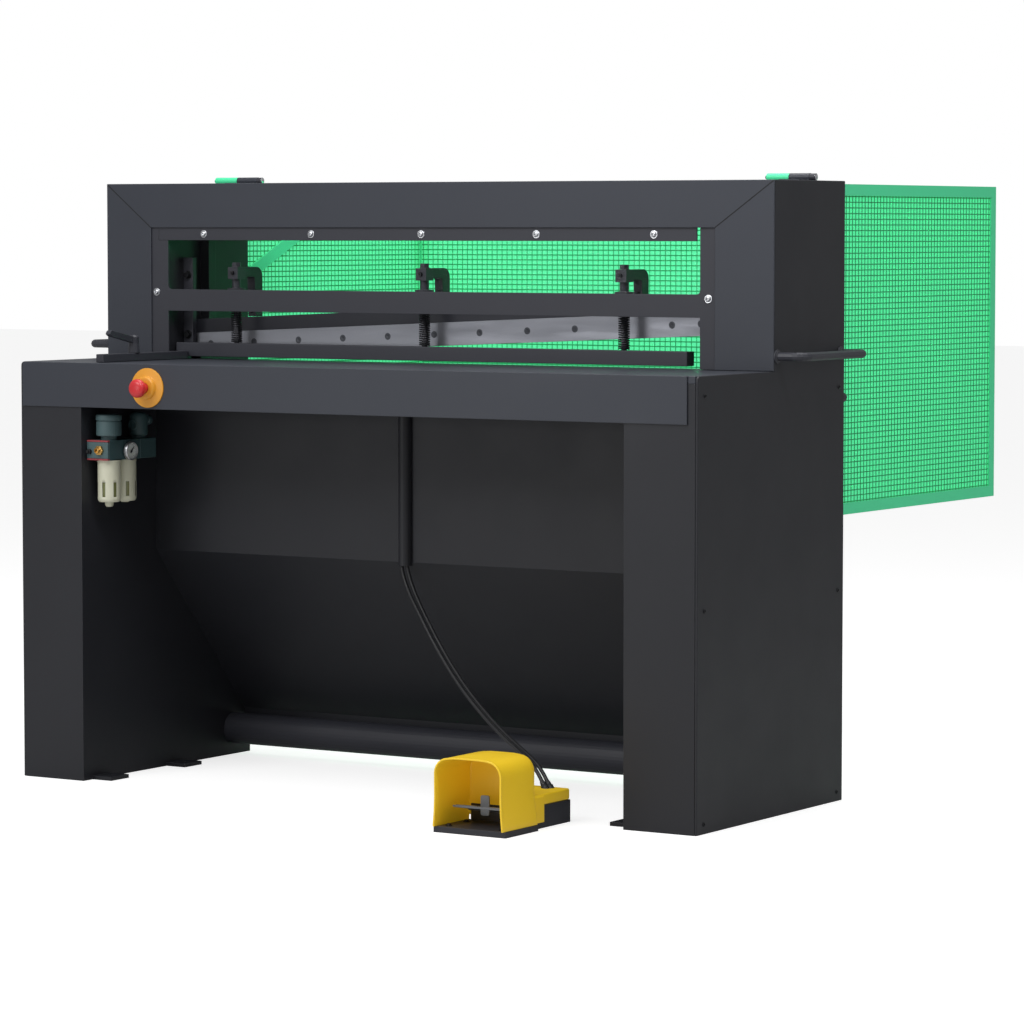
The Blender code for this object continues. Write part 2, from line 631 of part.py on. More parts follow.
def foot_valve():
    low, high = FOOT_X
    base = box("foot_valve_base", BLACK, (low, high), (FOOT_FRONT, FOOT_REAR), (0, 12))
    lower_box = box("valve_box_guide", BLACK, BOX_X, (FOOT_REAR - 6, BOX_Y), (0, 45))
    join(base, lower_box)

    def arch(inset):
        sides = [(low + 2 + inset, 12 + GAP), (low + 2 + inset, GUARD_TOP - inset),
                 (high - 2 - inset, GUARD_TOP - inset), (high - 2 - inset, 12 + GAP)]
        return rounded(sides, 34 - inset, (1, 2), 6)

    shell = arch(0) + list(reversed(arch(4)))
    guard = prism("foot_guard", YELLOW, 1, shell, PEDAL_Y, FOOT_REAR, smooth=True)
    back = prism("guard_back_guide", YELLOW, 1,
                 [p if p[1] > 20 else (p[0], 45 + GAP) for p in arch(1)], FOOT_REAR - 4,
                 FOOT_REAR - 0.5)
    top_box = box("valve_top_guide", YELLOW, BOX_X, (FOOT_REAR - 2, BOX_Y), (45 + GAP, 68), 4)
    necks = [box(f"{side}_neck_guide", YELLOW, xs, (FOOT_REAR - 2, NECK_REAR), (12 + GAP, 68))
             for side, xs in (("left", (BOX_X[0] - 5, BOX_X[0] - GAP)),
                              ("right", (BOX_X[1] + GAP, BOX_X[1] + 5)))]
    ledge = box("neck_top_guide", YELLOW, (BOX_X[0] - 5, BOX_X[1] + 5),
                (FOOT_REAR - 2, NECK_REAR), (45 + GAP, 68))
    before, end = (Vector(point) for point in HOSE_ROUTE[-2:])
    fittings = []
    for side in (-1, 1):
        spot = end + side * hose_shift(len(HOSE_ROUTE))
        fitting = rod(f"hose_fitting_guide_{side}", YELLOW, 5.4, spot, -16, -GAP, origin=spot)
        fitting.rotation_euler = (before - end).to_track_quat('Z', 'Y').to_euler()
        fittings.append(fitting)
    join(guard, back, ledge, *necks, top_box, *fittings)

    y, z = TREADLE_AXIS
    plate = prism("foot_treadle", GREY, 0,
                  [(y - 58, z + 12), (y - 58, z + 8), (y - 4, z - 2), (y, z - 5), (y + 4, z - 3),
                   (y + 5, z + 1), (y + 2, z + 4), (y - 4, z + 4)], low + 24, high - 24,
                  origin=(FOOT_MID, y, z))
    ly, lz = LATCH_AXIS
    notch = box("latch_notch", GREY, (FOOT_MID - 13, FOOT_MID + 13), (ly - 15, ly + 15),
                (z - 20, z + 40))
    cut(plate, notch)
    prism("foot_latch", GREY, 1,
          rounded([(FOOT_MID - 10, lz - 18), (FOOT_MID + 10, lz - 18), (FOOT_MID + 10, lz + 22),
                   (FOOT_MID - 10, lz + 22)], 4, (0, 1, 2, 3), 2), ly - 1.5, ly + 1.5,
          origin=(FOOT_MID, ly, lz))


def hose_shift(k):
    """Sideways step from the middle line at route point k: across the cover, then level."""
    turn = math.radians(HOSE_TURN * min(1, k / 5))
    return Vector((math.cos(turn), math.sin(turn), 0)) * HOSE_APART / 2


def hoses():
    """Two air hoses side by side, from the cover down to the foot valve."""
    for side, sign in (("left", -1), ("right", 1)):
        route = [Vector(point) + sign * hose_shift(k) for k, point in enumerate(HOSE_ROUTE)]
        swept(f"{side}_air_hose", RUBBER, route, HOSE_R, 20)


def rear_cage():
    x0, x1 = CAGE_X
    y0, y1 = CAGE_Y
    z0, z1 = CAGE_Z
    origin = (X_MID, *CAGE_AXIS)
    frame = box("cage_frame", GREEN, CAGE_X, CAGE_Y, CAGE_Z, origin=origin)
    far = 60
    bar, skin = CAGE_BAR, CAGE_SHEET
    hollow = box("cage_hollow", GREEN, (x0 + skin, x1 - skin), (y0 + skin, y1 - skin),
                 (z0 + skin, z1 - skin))
    side_window = box("cage_side_window", GREEN, (x0 - far, x1 + far), (y0 + bar, y1 - bar),
                      (z0 + bar, z1 - bar))
    rear_window = box("cage_rear_window", GREEN, (x0 + bar, x1 - bar), (y0 - far, y1 + far),
                      (z0 + bar, z1 - bar))
    top_window = box("cage_top_window", GREEN, (x0 + bar, x1 - bar), (y0 + bar, y1 - bar),
                     (z0 - far, z1 + far))
    cut(frame, hollow, side_window, rear_window, top_window)
    y, z = CAGE_AXIS
    for side, start, end, _, _ in HINGES:
        leaf = box(f"{side}_cage_leaf_guide", GREEN, (start, end - GAP), (y + 1.5, y + 45),
                   (z1 - 2, z - 6.5))
        join(frame, leaf, knuckle(f"{side}_cage_knuckle_guide", GREEN, start + 0.1,
                                  end - GAP - 0.1))
    reach = 6
    ys = (y0 + skin + reach, y1 - skin - reach)
    zs = (z0 + skin + reach, z1 - skin - reach)
    near, deep = skin + 1, skin + 1 + MESH_THICK
    box("cage_left_mesh", TINT, (x0 + near, x0 + deep), ys, zs, origin=origin)
    box("cage_right_mesh", TINT, (x1 - deep, x1 - near), ys, zs, origin=origin)
    box("cage_rear_mesh", TINT, (x0 + skin + reach, x1 - skin - reach),
        (y1 - deep, y1 - near), zs, origin=origin)
    foot, head = Vector((632, 1034)), Vector((1132, 1263))
    along = (head - foot).normalized() * 14
    across = Vector((-along.y, along.x))
    brace = [tuple(p) for p in (foot - across, head - across, head + across, foot + across)]
    prism("cage_brace", GREEN, 0, brace, x0 + skin + 5, x0 + skin + 9, origin=origin)


def hinge_pins():
    y, z = CAGE_AXIS
    for side, start, _, end, head in HINGES:
        lathe(f"{side}_hinge_pin", BLACK,
              [(0, start - 4), (PIN_R, start - 4), (PIN_R, end + GAP), (7.5, end + GAP),
               (7.5, head), (0, head)], (0, y, z), 'X', 18)


def rear_knob():
    x, z = WIDTH - 16, 837
    lathe("rear_knob", BLACK,
          [(0, -DEPTH - GAP), (5, -DEPTH - GAP), (5, -DEPTH - 9), (9, -DEPTH - 11),
           (10, -DEPTH - 24), (7, -DEPTH - 27), (0, -DEPTH - 27)], (x, 0, z), 'Y', 20,
          origin=(x, DEPTH, z))


clear_scene()
GRAPHITE = paint("graphite powder coat", (0.035, 0.038, 0.045), 0.55)
GRAPHITE_SIDE = paint("graphite powder coat, side", (0.025, 0.026, 0.03), 0.6)
BLACK = paint("black", (0.012, 0.012, 0.014), 0.5)
BLADE_STEEL = paint("ground blade steel", (0.5, 0.51, 0.52), 0.35, 0.8)
ALUMINIUM = paint("aluminium", (0.6, 0.6, 0.61), 0.4, 0.9)
CHROME = paint("chrome", (0.7, 0.7, 0.7), 0.15, 1.0)
SPRING_STEEL = paint("spring steel", (0.08, 0.08, 0.08), 0.4, 0.8)
BRASS = paint("brass", (0.7, 0.5, 0.2), 0.3, 1.0)
TEAL = paint("teal plastic", (0.12, 0.2, 0.2), 0.5)
DARK_TEAL = paint("dark teal plastic", (0.03, 0.06, 0.06), 0.5)
CREAM = paint("cream plastic", (0.72, 0.7, 0.58), 0.5)
YELLOW = paint("yellow plastic", (0.75, 0.5, 0.04), 0.45)
RED = paint("red plastic", (0.6, 0.04, 0.03), 0.4)
GREY = paint("grey paint", (0.2, 0.21, 0.22), 0.5)
RUBBER = paint("black rubber", (0.01, 0.01, 0.01), 0.6)
GREEN = paint("green paint", (0.08, 0.75, 0.4), 0.5)
TINT = paint("green tinted sheet", (0.1, 0.8, 0.45), 0.4, alpha=0.85)
CLEAR = paint("clear polycarbonate", (0.95, 0.97, 0.97), 0.05, alpha=0.15)

side_frame("left", LEFT_WALL)
side_frame("right", RIGHT_WALL)
side_panel("left", 0)
side_panel("right", WIDTH - PANEL)
table_top()
front_apron()
lower_front()
lower_blades()
roof_cover()
front_cover()
finger_guard()
side_handles()
ram()
cylinders()
hold_down()
emergency_stop()
service_unit()
squaring_arm()
valve_block()
foot_valve()
hoses()
rear_cage()
hinge_pins()
rear_knob()
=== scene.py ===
import json
import math

import bmesh
import bpy
from mathutils import Matrix, Vector


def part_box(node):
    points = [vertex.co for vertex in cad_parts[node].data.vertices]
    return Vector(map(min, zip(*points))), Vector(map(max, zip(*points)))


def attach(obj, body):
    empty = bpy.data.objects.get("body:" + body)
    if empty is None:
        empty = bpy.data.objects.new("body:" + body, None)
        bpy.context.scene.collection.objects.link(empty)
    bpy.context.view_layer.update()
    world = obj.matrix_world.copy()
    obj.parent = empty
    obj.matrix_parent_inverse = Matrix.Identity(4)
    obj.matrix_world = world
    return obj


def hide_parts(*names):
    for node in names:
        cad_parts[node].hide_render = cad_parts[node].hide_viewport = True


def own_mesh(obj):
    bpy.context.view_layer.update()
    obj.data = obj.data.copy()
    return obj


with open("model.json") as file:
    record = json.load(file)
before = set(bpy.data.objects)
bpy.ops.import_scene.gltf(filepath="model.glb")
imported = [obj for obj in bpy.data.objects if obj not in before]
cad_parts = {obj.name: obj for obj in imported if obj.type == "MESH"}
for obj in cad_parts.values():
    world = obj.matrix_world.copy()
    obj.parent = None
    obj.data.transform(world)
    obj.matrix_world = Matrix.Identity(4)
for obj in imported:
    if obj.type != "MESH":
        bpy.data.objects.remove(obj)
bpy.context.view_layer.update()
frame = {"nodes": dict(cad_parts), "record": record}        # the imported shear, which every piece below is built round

# Sizes are in the machine's own millimetres, measured from the left panel's front floor corner:
# x to the right, y to the back, z up.  at() turns such a point into the frame's metres.
MM = 0.001
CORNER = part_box("left_side_panel")[0]


def at(x, y, z):
    return CORNER + Vector((x, y, z)) * MM


def span(node):
    """Lowest and highest corner of a CAD node, in machine millimetres."""
    low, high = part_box(node)
    return (low - CORNER) / MM, (high - CORNER) / MM


# ------------------------------------------------------------------ places read from the frame

WIDTH, DEPTH, HEIGHT = span("right_side_panel")[1]
COVER_LOW, COVER_HIGH = span("front_cover")
GUARD_LOW = span("guard_frame")[0]
STRIP_LOW = span("guard_top_strip")[0]
BLADE_LOW, BLADE_HIGH = span("upper_blade")
SPRING_LOW, SPRING_HIGH = span("middle_hold_down_spring")
THIRDS = ("left", "middle", "right")      # the hold-down's three rods, springs and arms
ROD_X = [sum(corner.x for corner in span(f"{side}_hold_down_rod")) / 2 for side in THIRDS]
ROD_Y = sum(corner.y for corner in span("middle_hold_down_rod")) / 2
ROD_TOP = span("middle_hold_down_rod")[1].z
UNIT_LOW, UNIT_HIGH = span("service_unit_body")
GAUGE_LOW, GAUGE_HIGH = span("pressure_gauge")
ESTOP_LOW, ESTOP_HIGH = span("estop_disc")
FOOT_LOW, FOOT_HIGH = span("foot_valve_base")
GUARD_SHELL_LOW, GUARD_SHELL_HIGH = span("foot_guard")
CAGE_LOW, CAGE_HIGH = span("cage_frame")
RAKE = 0.047                 # rise of the upper blade per length
BLADE_TALL = BLADE_HIGH.z - BLADE_LOW.z - RAKE * (BLADE_HIGH.x - BLADE_LOW.x)


# ------------------------------------------------------------------ mesh building

def plain(angle):
    return 1.0


def six_sided(angle):
    """Outline of a hexagon, as a share of half its width across flats."""
    sixth = math.pi / 3
    return 1 / math.cos(angle % sixth - sixth / 2)


def ribbed(count, depth):
    return lambda angle: 1 - depth * (0.5 + 0.5 * math.cos(count * angle))


def lathe(bm, rows, centre, axis=(0, 0, 1), steps=32):
    """Turn rows of (radius, height) or (radius, height, form) round an axis; radius 0 closes it."""
    turn = Vector(axis).to_track_quat('Z', 'Y').to_matrix()
    rings = []
    for row in rows:
        radius, height = row[:2]
        form = row[2] if len(row) > 2 else plain
        ring = []
        for k in range(steps if radius else 1):
            angle = 2 * math.pi * k / steps
            reach = radius * form(angle)
            spot = Vector((reach * math.cos(angle), reach * math.sin(angle), height))
            ring.append(bm.verts.new(Vector(centre) + turn @ spot))
        rings.append(ring)
    for lower, upper in zip(rings, rings[1:]):
        for k in range(steps):
            corners = (lower[k % len(lower)], lower[(k + 1) % steps % len(lower)],
                       upper[(k + 1) % steps % len(upper)], upper[k % len(upper)])
            corners = list(dict.fromkeys(corners))
            if len(corners) > 2:
                bm.faces.new(corners)


def block(bm, xs, ys, zs):
    made = bmesh.ops.create_cube(bm, size=1.0)["verts"]
    for vert in made:
        for axis, (low, high) in enumerate((xs, ys, zs)):
            vert.co[axis] = low if vert.co[axis] < 0 else high
    return made


def slab(bm, outline, shift):
    """A closed solid: outline points in space, moved by shift."""
    lower = [bm.verts.new(p) for p in outline]
    upper = [bm.verts.new(Vector(p) + Vector(shift)) for p in outline]
    bm.faces.new(lower)
    bm.faces.new(upper[::-1])
    for i in range(len(outline)):
        j = (i + 1) % len(outline)
        bm.faces.new((lower[i], lower[j], upper[j], upper[i]))


def tube(bm, points, radius, sides=12, closed=False):
    """A round bar through points, its rings kept from twisting."""
    points = [Vector(p) for p in points]
    count = len(points)
    side = None
    rings = []
    for i, point in enumerate(points):
        before = points[i - 1] if i or closed else point
        after = points[(i + 1) % count] if i + 1 < count or closed else point
        ahead = (after - before).normalized()
        if side is None:
            side = ahead.orthogonal().normalized()
        side = (side - ahead * side.dot(ahead)).normalized()
        up = ahead.cross(side)
        rings.append([bm.verts.new(point + radius * (side * math.cos(a) + up * math.sin(a)))
                      for a in (2 * math.pi * k / sides for k in range(sides))])
    pairs = list(zip(rings, rings[1:]))
    if closed:
        pairs.append((rings[-1], rings[0]))
    else:
        bm.faces.new(rings[0])
        bm.faces.new(rings[-1][::-1])
    for lower, upper in pairs:
        for k in range(sides):
            j = (k + 1) % sides
            bm.faces.new((lower[k], lower[j], upper[j], upper[k]))


def piece(name, bm, material, body, replaces=(), bevel=0.0, angle=35):
    """Turn a bmesh drawn in machine millimetres into a piece that rides on a body."""
    bmesh.ops.recalc_face_normals(bm, faces=bm.faces)
    for vert in bm.verts:
        vert.co = at(*vert.co)
    mesh = bpy.data.meshes.new(name)
    bm.to_mesh(mesh)
    bm.free()
    mesh.materials.append(material)
    mesh.shade_smooth()
    mesh.set_sharp_from_angle(angle=math.radians(angle))
    made = bpy.data.objects.new(name, mesh)
    bpy.context.scene.collection.objects.link(made)
    if bevel:
        rounding = made.modifiers.new("Bevel", 'BEVEL')
        rounding.width = bevel * MM
        rounding.segments = 3
        rounding.limit_method = 'ANGLE'
        rounding.angle_limit = math.radians(40)
        rounding.harden_normals = True
    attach(made, body)
    if replaces:
        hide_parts(*replaces)
    return made


def smooth_route(points, spacing):
    """Evenly spaced points on the Catmull-Rom curve through points."""
    ends = [points[0] * 2 - points[1]] + points + [points[-1] * 2 - points[-2]]
    fine = []
    for a, b, c, d in zip(ends, ends[1:], ends[2:], ends[3:]):
        for k in range(24):
            t = k / 24
            fine.append(0.5 * (2 * b + (c - a) * t + (2 * a - 5 * b + 4 * c - d) * t * t
                               + (3 * b - a - 3 * c + d) * t ** 3))
    fine.append(points[-1])
    length = sum((q - p).length for p, q in zip(fine, fine[1:]))
    count = max(2, round(length / spacing))
    even = [fine[0]]
    walked = 0.0
    for p, q in zip(fine, fine[1:]):
        step = (q - p).length
        while len(even) < count and walked + step >= length * len(even) / count:
            share = (length * len(even) / count - walked) / step
            even.append(p + (q - p) * share)
        walked += step
    even.append(fine[-1])
    return even


# ------------------------------------------------------------------ materials

def shade(red, green, blue):
    """An sRGB colour of 0 to 255 as linear values."""
    return tuple(c / 12.92 if c <= 0.04045 else ((c + 0.055) / 1.055) ** 2.4
                 for c in (red / 255, green / 255, blue / 255))


def node(tree, kind, wires=(), **settings):
    made = tree.nodes.new(kind)
    for key, value in settings.items():
        setattr(made, key, value)
    for socket, source in dict(wires).items():
        if isinstance(source, bpy.types.NodeSocket):
            tree.links.new(source, made.inputs[socket])
        else:
            made.inputs[socket].default_value = source
    return made


def scaled(colour, factor):
    return (*(min(1.0, c * factor) for c in colour), 1.0)


def surface(name, colour, roughness, metallic=0.0, vary=0.12, cloud=6.0, grain=900.0,
            relief=0.00005, spread=0.08, stretch=(1, 1, 1), edge=0.0, edge_wear_and_highlight=None, coat=0.0,
            alpha=1.0, detail=3.0, clear=0.0, bend=1.5, shine=0.5, painted_glow=0.0):
    """A procedural finish: clouded colour, fine relief, uneven gloss, and rounded edges lightened partly by wear and
    partly by a painted highlight.
    """
    material = bpy.data.materials.new(name)
    material.use_nodes = True
    tree = material.node_tree
    shader = tree.nodes["Principled BSDF"]
    shader.inputs["Metallic"].default_value = metallic
    shader.inputs["Coat Weight"].default_value = coat
    shader.inputs["Alpha"].default_value = alpha
    shader.inputs["Transmission Weight"].default_value = clear
    shader.inputs["IOR"].default_value = bend
    shader.inputs["Specular IOR Level"].default_value = shine
    # Emission at the glow strength: painted light, the surface shining by itself though it is no lamp.
    shader.inputs["Emission Color"].default_value = (*colour, 1.0)
    shader.inputs["Emission Strength"].default_value = painted_glow
    where = node(tree, "ShaderNodeTexCoord").outputs["Object"]
    laid = node(tree, "ShaderNodeMapping", {"Vector": where, "Scale": stretch}).outputs["Vector"]
    clouds = node(tree, "ShaderNodeTexNoise",
                  {"Vector": laid, "Scale": cloud, "Detail": 5.0, "Roughness": 0.6})
    specks = node(tree, "ShaderNodeTexNoise",
                  {"Vector": laid, "Scale": grain, "Detail": detail, "Roughness": 0.55})
    tone = node(tree, "ShaderNodeMix", {0: clouds.outputs["Fac"], 6: scaled(colour, 1 - vary),
                                        7: scaled(colour, 1 + vary)}, data_type='RGBA')
    fleck = node(tree, "ShaderNodeMapRange", {"Value": specks.outputs["Fac"], "From Min": 0.3,
                                              "From Max": 0.7, "To Min": 0.0, "To Max": 0.3})
    tint = node(tree, "ShaderNodeMix", {0: fleck.outputs["Result"], 6: tone.outputs[2],
                                        7: scaled(colour, 1 + 2 * vary)}, data_type='RGBA')
    last = tint.outputs[2]
    gloss = node(tree, "ShaderNodeMapRange",
                 {"Value": clouds.outputs["Fac"], "From Min": 0.25, "From Max": 0.75,
                  "To Min": max(0.02, roughness - spread), "To Max": min(1, roughness + spread)})
    tree.links.new(gloss.outputs["Result"], shader.inputs["Roughness"])
    bump = node(tree, "ShaderNodeBump", {"Height": specks.outputs["Fac"], "Distance": relief,
                                         "Strength": 0.6})
    if edge:
        soft = node(tree, "ShaderNodeBevel", {"Radius": edge * MM}, samples=4)
        tree.links.new(soft.outputs["Normal"], bump.inputs["Normal"])
        # Lighter colour on the rounded edges, patchy by the clouds: partly edge wear, partly a painted highlight along
        # the edges.
        if edge_wear_and_highlight:
            face = node(tree, "ShaderNodeNewGeometry").outputs["Normal"]
            match = node(tree, "ShaderNodeVectorMath", {0: face, 1: soft.outputs["Normal"]},
                         operation='DOT_PRODUCT')
            rubbed_and_lit_edge = node(tree, "ShaderNodeMapRange", {"Value": match.outputs["Value"],
                                                     "From Min": 0.97, "From Max": 0.8})
            patch = node(tree, "ShaderNodeMath", {0: rubbed_and_lit_edge.outputs["Result"],
                                                  1: clouds.outputs["Fac"]},
                         operation='MULTIPLY')
            wear_and_highlight_mix = node(tree, "ShaderNodeMix", {0: patch.outputs["Value"], 6: last,
                                                7: (*edge_wear_and_highlight, 1.0)}, data_type='RGBA')
            last = wear_and_highlight_mix.outputs[2]
    tree.links.new(last, shader.inputs["Base Color"])
    tree.links.new(bump.outputs["Normal"], shader.inputs["Normal"])
    return material


POWDER = dict(grain=700.0, relief=0.00018, edge=1.2, spread=0.06, detail=2.0, shine=0.38)
# The lighter edge colours given below lighten the rounded edges: partly wear, partly a painted highlight.
M = {
    "graphite_paint": surface("graphite powder coat", shade(54, 57, 65), 0.42, vary=0.06,
                              edge_wear_and_highlight=shade(120, 123, 130), **POWDER),
    "graphite_panel": surface("graphite powder coat of the panels", shade(36, 37, 42), 0.46,
                              vary=0.06, edge_wear_and_highlight=shade(105, 107, 113), **POWDER),
    "black_paint": surface("satin black paint", shade(52, 53, 60), 0.45, vary=0.1,
                           edge_wear_and_highlight=shade(95, 96, 100), **POWDER),
    "blade_steel": surface("ground blade steel", shade(152, 154, 162), 0.4, 0.7, vary=0.22,
                           cloud=5.0, grain=260.0, stretch=(1.0, 1.0, 9.0), relief=0.00004,
                           spread=0.12, edge=0.6, edge_wear_and_highlight=shade(200, 202, 205)),
    "machined_aluminium": surface("machined aluminium", shade(190, 191, 194), 0.35, 0.9,
                                  grain=400.0, stretch=(1, 1, 12), spread=0.1, edge=0.6),
    "hard_chrome": surface("hard chrome", shade(205, 207, 210), 0.12, 1.0, vary=0.05,
                           grain=300.0, relief=0.00001, spread=0.04),
    "spring_steel": surface("oiled spring steel", shade(48, 48, 52), 0.4, 0.6, vary=0.25,
                            cloud=60.0, grain=900.0, relief=0.00003),
    "teal_plastic": surface("teal moulded plastic", shade(72, 95, 98), 0.5, vary=0.08,
                            cloud=20.0, grain=2200.0, relief=0.00005, edge=0.8),
    "dark_teal_plastic": surface("dark teal moulded plastic", shade(56, 80, 83), 0.48, vary=0.1,
                                 cloud=20.0, grain=2200.0, relief=0.00005, edge=0.8),
    "cream_plastic": surface("cream moulded plastic", shade(206, 206, 184), 0.45, vary=0.05,
                             cloud=25.0, grain=2000.0, relief=0.00004, edge=0.6),
    "yellow_plastic": surface("yellow moulded plastic", shade(220, 152, 44), 0.42, vary=0.05,
                              cloud=14.0, grain=1500.0, relief=0.00007, edge=1.0, coat=0.1),
    "red_plastic": surface("red moulded plastic", shade(200, 40, 46), 0.35, vary=0.06,
                           cloud=30.0, grain=2000.0, relief=0.00003, edge=0.8, coat=0.2),
    "grey_paint": surface("grey paint", shade(112, 116, 122), 0.45, vary=0.1, cloud=25.0,
                          grain=1400.0, edge=0.6, edge_wear_and_highlight=shade(150, 152, 156)),
    "hose_rubber": surface("black hose rubber", shade(30, 30, 33), 0.5, vary=0.15, cloud=40.0,
                           grain=1800.0, relief=0.00006),
    # The green paint glows a little: painted light.
    "green_paint": surface("green paint", shade(78, 226, 162), 0.45, vary=0.06, cloud=9.0, painted_glow=0.08,
                           grain=900.0, relief=0.00008, edge=0.8, edge_wear_and_highlight=shade(130, 225, 175)),
    # A darker copy of the green paint: painted shade for the wires and the parts inside the cage.
    "green_wire": surface("green paint on wire, darkened as painted shade", shade(20, 158, 92), 0.5, vary=0.12, cloud=30.0,
                          grain=1200.0, relief=0.00005),
    # The tinted sheet glows: painted light standing in for light passing through it from behind.
    "green_tint_sheet": surface("green tinted sheet", shade(102, 230, 172), 0.22, vary=0.04,
                                cloud=5.0, grain=600.0, relief=0.00001, clear=0.45, bend=1.06,
                                painted_glow=0.32),
    "clear_window": surface("clear polycarbonate", shade(30, 32, 34), 0.05, vary=0.02,
                            cloud=8.0, grain=500.0, relief=0.000005, spread=0.03, alpha=0.03),
    "plain_brass": surface("turned brass", shade(196, 158, 92), 0.28, 1.0, vary=0.15,
                           cloud=60.0, grain=900.0, relief=0.00002, edge=0.4),
    "zinc_screws": surface("bright zinc plate", shade(208, 210, 214), 0.25, 0.95, vary=0.12,
                           cloud=80.0, grain=1500.0, relief=0.00002, edge=0.4),
}
# The lemon plastic glows a little: painted light.
FOOT_YELLOW = surface("lemon moulded plastic", shade(255, 210, 44), 0.42, vary=0.05, cloud=14.0, painted_glow=0.08,
                      grain=1500.0, relief=0.00007, edge=1.0, coat=0.1)
SOCKET_BLACK = surface("black oxide screws", shade(30, 31, 34), 0.4, 0.5, vary=0.2, cloud=120.0,
                       grain=1800.0, relief=0.00003, edge=0.4)
BLADE_SCREW = surface("oiled screws of the blade", shade(82, 84, 90), 0.45, 0.6, vary=0.2,
                      cloud=120.0, grain=1800.0, relief=0.00003)
SEAM = surface("shadow line of a joint", shade(22, 23, 26), 0.8, vary=0.1)
SIGHT = surface("olive sight glass", shade(112, 116, 72), 0.2, vary=0.15, cloud=40.0, coat=0.5)
PINK_EDGE = surface("red moulded edge", shade(150, 62, 68), 0.5, vary=0.1, cloud=40.0)
DIAL = surface("printed dial", shade(214, 220, 216), 0.5, vary=0.03, cloud=40.0)


def finish_cad():
    """Give every CAD node the finish of its material slot in the record."""
    for part in frame["record"]["subparts"]:
        for place in frame["nodes"][part["node"]].material_slots:
            place.material = M[part["material_slot"]]


# ------------------------------------------------------------------ camera and stage

def camera():
    eye = bpy.data.cameras.new("camera")
    eye.lens = 145.15
    eye.sensor_width = 36.0
    holder = bpy.data.objects.new("camera", eye)
    holder.location = (4.811, -7.584, 1.190)
    holder.rotation_euler = (math.pi / 2 - 0.069, 0, 0.5629)
    bpy.context.scene.collection.objects.link(holder)
    bpy.context.scene.camera = holder


def soft_light(name, place, aim, size, watts, colour=(1, 1, 1)):
    lamp = bpy.data.lights.new(name, 'AREA')
    lamp.shape = 'RECTANGLE'
    lamp.size, lamp.size_y = size
    lamp.energy = watts
    lamp.color = colour
    holder = bpy.data.objects.new(name, lamp)
    holder.location = place
    holder.rotation_euler = (Vector(aim) - Vector(place)).to_track_quat('-Z', 'Y').to_euler()
    bpy.context.scene.collection.objects.link(holder)


ROOM_LIGHT = 0.34            # what the white backdrop gives off, less than it shows


def stage():
    bm = bmesh.new()
    bmesh.ops.create_grid(bm, x_segments=1, y_segments=1, size=30)
    mesh = bpy.data.meshes.new("floor")
    bm.to_mesh(mesh)
    bm.free()
    pale = surface("pale floor", (0.6, 0.6, 0.6), 0.7, vary=0.01, cloud=2.0, relief=0.0)
    tree = pale.node_tree
    seen = node(tree, "ShaderNodeLightPath").outputs["Is Camera Ray"]
    lift = node(tree, "ShaderNodeMapRange", {"Value": seen, "To Min": 0.0, "To Max": 0.7})
    shader = tree.nodes["Principled BSDF"]
    shader.inputs["Emission Color"].default_value = (1, 1, 1, 1)
    tree.links.new(lift.outputs["Result"], shader.inputs["Emission Strength"])
    mesh.materials.append(pale)
    floor = bpy.data.objects.new("floor", mesh)
    bpy.context.scene.collection.objects.link(floor)
    world = bpy.data.worlds.new("studio")
    world.use_nodes = True
    tree = world.node_tree
    rays = node(tree, "ShaderNodeLightPath").outputs
    seen = node(tree, "ShaderNodeMath", {0: rays["Is Camera Ray"], 1: rays["Is Transmission Ray"]},
                operation='MAXIMUM').outputs["Value"]
    level = node(tree, "ShaderNodeMapRange", {"Value": seen, "To Min": ROOM_LIGHT, "To Max": 1.0})
    tree.nodes["Background"].inputs["Color"].default_value = (1, 1, 1, 1)
    tree.links.new(level.outputs["Result"], tree.nodes["Background"].inputs["Strength"])
    bpy.context.scene.world = world
    bpy.context.scene.view_settings.view_transform = 'Standard'
    soft_light("key", (-1.2, -4.4, 3.8), (0, -0.3, 1.0), (2.6, 1.6), 88)
    soft_light("right fill", (5.5, -1.0, 3.2), (0.6, 0, 1.0), (2.0, 2.4), 14)
    soft_light("front strip", (1.0, -1.4, 2.6), (0.5, -0.2, 1.25), (2.4, 0.4), 27)
    soft_light("low fill", (-1.6, -4.2, 0.9), (0.1, 0.1, 0.6), (1.6, 0.8), 12)
    soft_light("top", (0.0, 0.4, 4.2), (0, 0.2, 1.0), (3.0, 2.5), 90)


# ------------------------------------------------------------------ air hoses

# Middle line between the two hoses: out of the cover, down, and across to the foot valve
HOSE_ROUTE = ((822, 256, 500), (822, 256, 482), (827, 254, 462), (840, 248, 437),
              (860, 238, 410), (886, 226, 380), (920, 210, 343), (957, 193, 306),
              (999, 173, 269), (1045, 151, 234), (1096, 127, 201), (1148, 102, 172),
              (1196, 79, 149), (1240, 59, 130), (1278, 41, 112), (1304, 28, 93),
              (1321, 20, 74))
HOSE_APART = 12.0
HOSE_TURN = 65.0       # the pair turns this far, in degrees, to lie level beside each other
HOSE_R = 4.0


def hose_shift(k):
    turn = math.radians(HOSE_TURN * min(1, k / 5))
    return Vector((math.cos(turn), math.sin(turn), 0)) * HOSE_APART / 2


